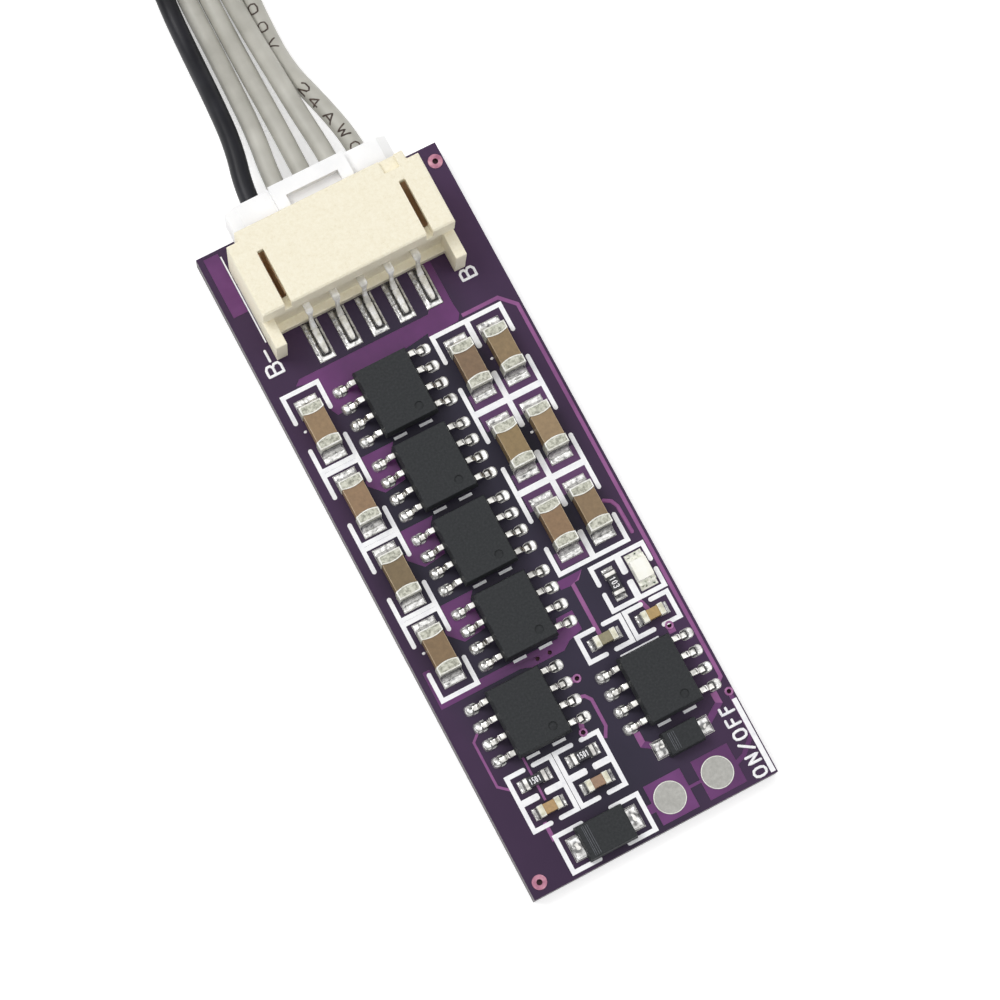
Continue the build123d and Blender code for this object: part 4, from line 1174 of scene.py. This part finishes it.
# %% Letters
GLYPHS = {
    "O": [[(0.5, 0), (0.14, 0.08), (0, 0.34), (0, 0.66), (0.14, 0.92), (0.5, 1), (0.86, 0.92),
           (1, 0.66), (1, 0.34), (0.86, 0.08), (0.5, 0)]],
    "N": [[(0, 0), (0, 1), (1, 0), (1, 1)]],
    "/": [[(0, 0), (1, 1)]],
    "-": [[(0, 0.5), (1, 0.5)]],
    "F": [[(0, 0), (0, 1), (1, 1)], [(0, 0.52), (0.8, 0.52)]],
    "B": [[(0, 0), (0, 1), (0.7, 1), (0.96, 0.88), (0.96, 0.66), (0.7, 0.54), (0, 0.54)],
          [(0.7, 0.54), (1, 0.4), (1, 0.13), (0.72, 0), (0, 0)]],
    "A": [[(0, 0), (0.5, 1), (1, 0)], [(0.2, 0.34), (0.8, 0.34)]],
    "W": [[(0, 1), (0.25, 0), (0.5, 0.75), (0.75, 0), (1, 1)]],
    "G": [[(1, 0.8), (0.75, 1), (0.25, 1), (0, 0.75), (0, 0.25), (0.25, 0), (0.75, 0), (1, 0.2),
           (1, 0.48), (0.6, 0.48)]],
    "V": [[(0, 1), (0.5, 0), (1, 1)]],
    "0": [[(0.5, 0), (0.1, 0.12), (0, 0.5), (0.1, 0.88), (0.5, 1), (0.9, 0.88), (1, 0.5),
           (0.9, 0.12), (0.5, 0)]],
    "1": [[(0.15, 0.78), (0.55, 1), (0.55, 0)]],
    "2": [[(0, 0.78), (0.22, 1), (0.78, 1), (1, 0.78), (0.9, 0.55), (0, 0), (1, 0)]],
    "3": [[(0, 0.9), (0.3, 1), (0.8, 1), (1, 0.78), (0.75, 0.54), (0.4, 0.54)],
          [(0.75, 0.54), (1, 0.3), (0.8, 0), (0.3, 0), (0, 0.1)]],
    "4": [[(0.72, 0), (0.72, 1), (0, 0.3), (1, 0.3)]],
    "5": [[(1, 1), (0.1, 1), (0, 0.55), (0.7, 0.6), (1, 0.3), (0.75, 0), (0, 0.05)]],
}
ROUND_END = (0.06, 0.25, 0.55, 1.0)
SPOTS_PER_NIB = 0.8
CROWN = 1.1
NIB = 0.18 * MM
INK_THICK = 0.027 * MM
DIGIT_TALL = 0.44 * MM
DIGIT_NIB = 0.065 * MM
DIGIT_SHARE = 0.8
DIGIT_THICK = 0.008 * MM
NUMBER_WIDE = 0.81 * MM
WIRE_LETTER_WIDE, WIRE_LETTER_TALL = 0.9 * MM, 0.78 * MM
WIRE_NIB = 0.115 * MM
WIRE_INK_THICK = 0.012 * MM
WIRE_INK_SINK = 0.003 * MM


def ribbon(maker, path, nib, thickness, place):
    """Adds a stroke along a flat path. The place rule turns (u, v, lift) into a spot in space."""
    path = [Vector(spot) for spot in path]
    dense = [path[0]]
    for a, b in zip(path, path[1:]):
        count = max(1, math.ceil((b - a).length / (nib * SPOTS_PER_NIB)))
        dense += [a.lerp(b, step / count) for step in range(1, count + 1)]
    first = (dense[1] - dense[0]).normalized()
    last = (dense[-1] - dense[-2]).normalized()
    radius = nib / 2
    shares = [(1 - t, math.sqrt(1 - (1 - t) ** 2)) for t in ROUND_END]
    start = [(dense[0] - first * radius * back, share) for back, share in shares]
    end = [(dense[-1] + last * radius * back, share) for back, share in reversed(shares)]
    spots = start + [(spot, 1.0) for spot in dense[1:-1]] + end
    rings = []
    for index, (spot, share) in enumerate(spots):
        before = spots[max(index - 1, 0)][0]
        after = spots[min(index + 1, len(spots) - 1)][0]
        along = (after - before).normalized()
        outwards = Vector((-along.y, along.x)) * radius * share
        left = spot + outwards
        right = spot - outwards
        rings.append([
            place(left.x, left.y, 0), place(left.x, left.y, thickness),
            place(spot.x, spot.y, thickness * CROWN),
            place(right.x, right.y, thickness), place(right.x, right.y, 0),
        ])
    ring_tube(maker, rings)


def letter(maker, glyph, start, width, height, nib, thickness, place):
    """Adds one letter whose outer box starts at (start, 0) in the plane of the print."""
    for stroke in GLYPHS[glyph]:
        path = [
            (start + nib / 2 + x * (width - nib), nib / 2 + y * (height - nib))
            for x, y in stroke
        ]
        ribbon(maker, path, nib, thickness, place)


def flat_print(corner, reading, top):
    """A place rule for print on a flat face."""
    corner, reading, top = Vector(corner), Vector(reading), Vector(top)
    return lambda u, v, lift: corner + reading * u + top * v + UP * lift


def level_print(height):
    """A place rule for shapes drawn in the board's own directions at this height."""
    return flat_print((0, 0, height), (1, 0, 0), (0, 1, 0))


# Each letter, its start, its width, the line it stands on and its height, in millimetres.
BOARD_WORDS = [
    ("O", -23.85, 0.75, 8.48, 1.06), ("N", -22.85, 0.65, 8.48, 1.06),
    ("/", -22.0, 0.75, 8.48, 1.06), ("O", -21.1, 0.75, 8.48, 1.06),
    ("F", -20.1, 0.65, 8.48, 1.06), ("F", -19.2, 0.6, 8.48, 1.06),
    ("B", 14.5, 0.9, -7.15, 1.25), ("-", 15.5, 0.95, -7.15, 1.25),
    ("B", 14.5, 0.85, 7.3, 1.2),
]
words = bmesh.new()
for glyph, start_y, width, base_x, height in BOARD_WORDS:
    rule = flat_print((base_x * MM, 0, BOARD_TOP), (0, 1, 0), (-1, 0, 0))
    letter(words, glyph, start_y * MM, width * MM, height * MM, NIB, INK_THICK, rule)
word_piece = link_mesh("board_words", words, ink)


def digits_on(maker, name, text):
    """Writes a short number on top of a small part, along its longer side."""
    low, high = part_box(name)
    middle = middle_of((low, high))
    pitch = NUMBER_WIDE / len(text)
    if high.x - low.x > high.y - low.y:
        reading, top = Vector((1, 0, 0)), Vector((0, 1, 0))
    else:
        reading, top = Vector((0, -1, 0)), Vector((1, 0, 0))
    corner = Vector((middle.x, middle.y, high.z))
    corner -= reading * (NUMBER_WIDE / 2) + top * (DIGIT_TALL / 2)
    rule = flat_print(corner, reading, top)
    for index, glyph in enumerate(text):
        wide = pitch * DIGIT_SHARE
        letter(maker, glyph, index * pitch, wide, DIGIT_TALL, DIGIT_NIB, DIGIT_THICK, rule)


digits = bmesh.new()
for name in ("timing_resistor_1", "timing_resistor_2", "light_resistor"):
    digits_on(digits, name, "103" if name == "light_resistor" else "1501")
digit_piece = link_mesh("resistor_digits", digits, ink)


def wire_print(line, start, shift):
    """A place rule that wraps print round a wire and reads back towards its start."""
    def rule(u, v, lift):
        walked = start - u
        for a, b in zip(line, line[1:]):
            length = (b - a).length
            if walked <= length:
                break
            walked -= length
        along = (b - a).normalized()
        across = along.cross(UP).normalized()
        upward = across.cross(along)
        centre = a + along * walked
        radius = WIRE_WIDTH / 2 + lift - WIRE_INK_SINK
        angle = -(v + shift) / (WIRE_WIDTH / 2)
        return centre + (upward * math.cos(angle) - across * math.sin(angle)) * radius
    return rule


# Each letter, its distance from the plug and how far round the wire it stands, in millimetres.
WIRE_WORDS = [
    ("G", 1.1, -0.06), ("W", 2.54, -0.16), ("A", 3.92, -0.3), ("4", 5.47, -0.36),
    ("2", 6.73, -0.27), ("V", 11.16, -0.14), ("0", 12.76, -0.16), ("0", 14.4, -0.23),
    ("3", 16.0, -0.23),
]
PRINT_START = 0.8 * MM
wire_words = bmesh.new()
for glyph, distance, aside in WIRE_WORDS:
    shift = aside * MM - WIRE_LETTER_TALL / 2
    rule = wire_print(wire_lines["grey_lead_4"], distance * MM + PRINT_START, shift)
    letter(
        wire_words, glyph, 0, WIRE_LETTER_WIDE, WIRE_LETTER_TALL, WIRE_NIB, WIRE_INK_THICK, rule,
    )
link_mesh("wire_words", wire_words, brown_ink)
print("letters on the board", len(BOARD_WORDS), "on the wire", len(WIRE_WORDS))

# %% [markdown]
# ## Copper that shows faintly
#
# Some copper only shows as a slightly warmer patch under the mask, and one thin track runs down
# beside the right-hand frame. A film a few thousandths of a millimetre thick in the board's face
# is enough for that, because it changes the colour there and no shape that anyone could see.

# %% Faint copper and the side track
FILM = 0.004 * MM
DIM_AREAS = [
    [(2.75, 4.7), (7.5, 4.7), (7.5, 7.4), (2.75, 7.4)],
    [(2.75, -1.4), (7.5, -1.4), (7.5, 1.35), (2.75, 1.35)],
    [(2.75, -5.75), (4.9, -5.75), (4.9, -4.6), (2.75, -4.6)],
]
BRIGHT_AREAS = [
    [(2.3, 12.15), (4.6, 12.3), (4.92, 12.75), (4.84, 13.5), (4.6, 13.4), (2.55, 12.85)],
    [(2.1, -6.9), (2.75, -6.95), (3.38, -6.75), (3.95, -6.3), (2.1, -6.3)],
]
SIDE_TRACK = [(7.41, -2.9), (7.85, -3.17), (8.07, -3.66), (8.1, -4.81), (8.11, -5.6)]
SIDE_TRACK_WIDE = 0.27 * MM


def plate(maker, corners, low, high):
    """Adds a thin flat plate with these (x, y) corners between two heights."""
    ring_tube(maker, [[(x, y, height) for x, y in corners] for height in (low, high)])


def in_metres(corners):
    """Corners given in millimetres, as metres."""
    return [(x * MM, y * MM) for x, y in corners]


for name, areas, material in (
    ("dim_copper_areas", DIM_AREAS, dim_copper), ("bright_copper_corners", BRIGHT_AREAS, copper),
):
    maker = bmesh.new()
    for corners in areas:
        plate(maker, in_metres(corners), BOARD_TOP - FILM, BOARD_TOP + FILM)
    piece = link_mesh(name, maker, material, smooth=False)

maker = bmesh.new()
ribbon(maker, in_metres(SIDE_TRACK), SIDE_TRACK_WIDE, FILM, level_print(BOARD_TOP))
side_track = link_mesh("side_track", maker, track_copper)
print("faint areas", len(DIM_AREAS) + len(BRIGHT_AREAS))

# %% [markdown]
# ## Rounded metal ends
#
# The tin on the ends of a large capacitor has a painted highlight along its outline, and its inner
# border bulges over the ceramic. The solids have straight ends. So a thin plate with the bulging
# border lies on each of them, and a ribbon with the painted highlight follows its outline.

# %% Outlines of the capacitor ends
BULGE = 0.14 * MM
OUTLINE = 0.085 * MM
OUTLINE_INSET = OUTLINE / 2 + 0.01 * MM
OUTLINE_THICK = 0.008 * MM
END_CORNER = 0.12 * MM
CORNER_STEPS = 5
ARC_STEPS = 12
PLATE_SINK, PLATE_RISE = 0.01 * MM, 0.003 * MM
OWN_END_WITHIN = 2 * MM


def end_outline(low, high, inward):
    """The rounded outline of a metal end, whose inner side bulges. Starts on the outer side."""
    outer, inner = low.y + OUTLINE_INSET, high.y - OUTLINE_INSET
    if inward < 0:
        outer, inner = inner, outer
    left, right = low.x + OUTLINE_INSET, high.x - OUTLINE_INSET

    def corner(x, side):
        """Points round an outer corner, from the outer side to the side at this x."""
        angles = [step / CORNER_STEPS * math.pi / 2 for step in range(CORNER_STEPS + 1)]
        return [
            (x - side * END_CORNER * (1 - math.sin(angle)),
             outer + inward * END_CORNER * (1 - math.cos(angle))) for angle in angles
        ]

    arc = []
    for step in range(ARC_STEPS + 1):
        share = step / ARC_STEPS
        swell = BULGE * (1 - (2 * share - 1) ** 2)
        arc.append((right + (left - right) * share, inner + inward * swell))
    start = ((left + right) / 2, outer)
    return [start] + corner(right, 1) + arc + corner(left, -1)[::-1] + [start]


outlines = bmesh.new()
swells = bmesh.new()
end_boxes = islands("balance_capacitor_ends")
for number in range(1, len(BALANCE_SHADES) + 1):
    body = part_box(f"balance_capacitor_{number}")
    for low, high in end_boxes:
        beside = low.x < middle_of(body).x < high.x
        distance = middle_of(body).y - middle_of((low, high)).y
        if not beside or abs(distance) > OWN_END_WITHIN:
            continue
        path = end_outline(low, high, math.copysign(1, distance))
        ribbon(outlines, path, OUTLINE, OUTLINE_THICK, level_print(high.z))
        plate(swells, path[1:-1], body[1].z - PLATE_SINK, high.z + PLATE_RISE)
# Painted highlight: the outline ribbons carry the bright edge material.
outline_piece = link_mesh("capacitor_end_outlines", outlines, end_edge)
swell_piece = link_mesh("capacitor_end_tops", swells, end_metal, smooth=False)
print("outlined ends", len(end_boxes))

# %% [markdown]
# ## Bands, rings and specks
#
# A band of thin lines marks one end of each diode, a rim of copper stands round each via, and a
# dark plug of painted shadow fills each hole. The holes are found in the board's own mesh: a hole
# is a ring of upright faces that hang together and reach the underside. The switch lands have a
# bright rim, and the print left a few white specks.

# %% Bands, rings, holes and specks
BAND_STEPS = (0.42, 0.53, 0.68, 0.82)
BAND_INSET = 0.24 * MM
BAND_WIDE, BAND_THICK = 0.045 * MM, 0.006 * MM
UPRIGHT = 0.1
WALL_FOOT = 0.1 * MM
ROUNDNESS = 1 / 20
RING_TURNS = 28
RING_FOOT = 0.002 * MM
RING_SHOULDER = 0.6
RING_ROUNDING = 0.02 * MM
VIA_WIDEST = 0.35 * MM
VIA_RING_WIDE, VIA_RING_TALL = 0.15 * MM, 0.056 * MM
HOLE_WIDEST = 1.2 * MM
BOARD_BELOW = 0.02 * MM
DARK_DEPTH = BOARD_TOP * 0.8
RIM_WIDTH, RIM_INSET, RIM_TALL = 0.07 * MM, 0.005 * MM, 0.062 * MM
SPECKS = [(-7.9, 10.25), (5.4, 9.0), (5.4, 3.35), (-7.85, -6.45)]
SPECK_WIDE = 0.24 * MM
SPECK_SHAPE = (1, 0.8, 0.3, 1)

bands = bmesh.new()
for name in ("large_diode_body", "small_diode_body"):
    low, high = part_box(name)
    for step in BAND_STEPS:
        x = low.x + step * MM
        line = [(x, low.y + BAND_INSET), (x, high.y - BAND_INSET)]
        ribbon(bands, line, BAND_WIDE, BAND_THICK, level_print(high.z))
link_mesh("diode_bands", bands, grey_mark)


def round_holes(name, widest):
    """Centres and radii of the small round holes, from the walls that reach the underside."""
    maker = welded(name)
    walls = [
        face for face in maker.faces
        if abs(face.normal.z) < UPRIGHT and min(vertex.co.z for vertex in face.verts) < WALL_FOOT
    ]
    holes = []
    for group in groups_of(walls, lambda f: [face for e in f.edges for face in e.link_faces]):
        low, high = box_of([vertex for face in group for vertex in face.verts])
        wide, long = high.x - low.x, high.y - low.y
        if wide < widest and abs(wide - long) < widest * ROUNDNESS:
            holes.append((middle_of((low, high)), wide / 2))
    maker.free()
    return sorted(holes, key=by_place)


def flat_ring(maker, centre, inner, outer, top):
    """Adds a thin flat ring with a softly rounded section on the board."""
    profile = [
        (inner, -RING_FOOT), (inner, top * RING_SHOULDER), (inner + RING_ROUNDING, top),
        (outer - RING_ROUNDING, top), (outer, top * RING_SHOULDER), (outer, -RING_FOOT),
    ]
    rows = []
    for step in range(RING_TURNS):
        angle = step / RING_TURNS * 2 * math.pi
        x, y = math.cos(angle), math.sin(angle)
        rows.append([
            (centre.x + radius * x, centre.y + radius * y, BOARD_TOP + rise)
            for radius, rise in profile
        ])
    ring_tube(maker, rows, closed=True)


vias = round_holes("circuit_board", VIA_WIDEST)
rings = bmesh.new()
for centre, radius in vias:
    # A via inside a wide pour has no ring of its own.
    if not over(centre, pours):
        flat_ring(rings, centre, radius, radius + VIA_RING_WIDE, VIA_RING_TALL)
ring_piece = link_mesh("via_rings", rings, via_metal)

# Painted shadow: a dark plug inside each hole keeps the white floor from showing through.
hole_shadows = bmesh.new()
for centre, radius in round_holes("circuit_board", HOLE_WIDEST):
    bmesh.ops.create_cone(
        hole_shadows, cap_ends=True, segments=24, radius1=radius, radius2=radius, depth=DARK_DEPTH,
        matrix=Matrix.Translation((centre.x, centre.y, BOARD_BELOW + DARK_DEPTH / 2)),
    )
hole_shadow_piece = link_mesh("painted_hole_shadows", hole_shadows, hole_shadow, smooth=False)

rims = bmesh.new()
for low, high in islands("switch_lands"):
    radius = (high.x - low.x) / 2
    flat_ring(rims, middle_of((low, high)), radius - RIM_WIDTH, radius - RIM_INSET, RIM_TALL)
rim_piece = link_mesh("switch_land_rims", rims, end_edge)

specks = bmesh.new()
for x, y in SPECKS:
    spot = Vector((x * MM, y * MM, BOARD_TOP + 0.01 * MM))
    bmesh.ops.create_uvsphere(
        specks, u_segments=14, v_segments=8, radius=SPECK_WIDE / 2,
        matrix=Matrix.Translation(spot) @ Matrix.Diagonal(SPECK_SHAPE),
    )
speck_piece = link_mesh("white_specks", specks, ink)
print("vias", len(vias), "specks", len(SPECKS))
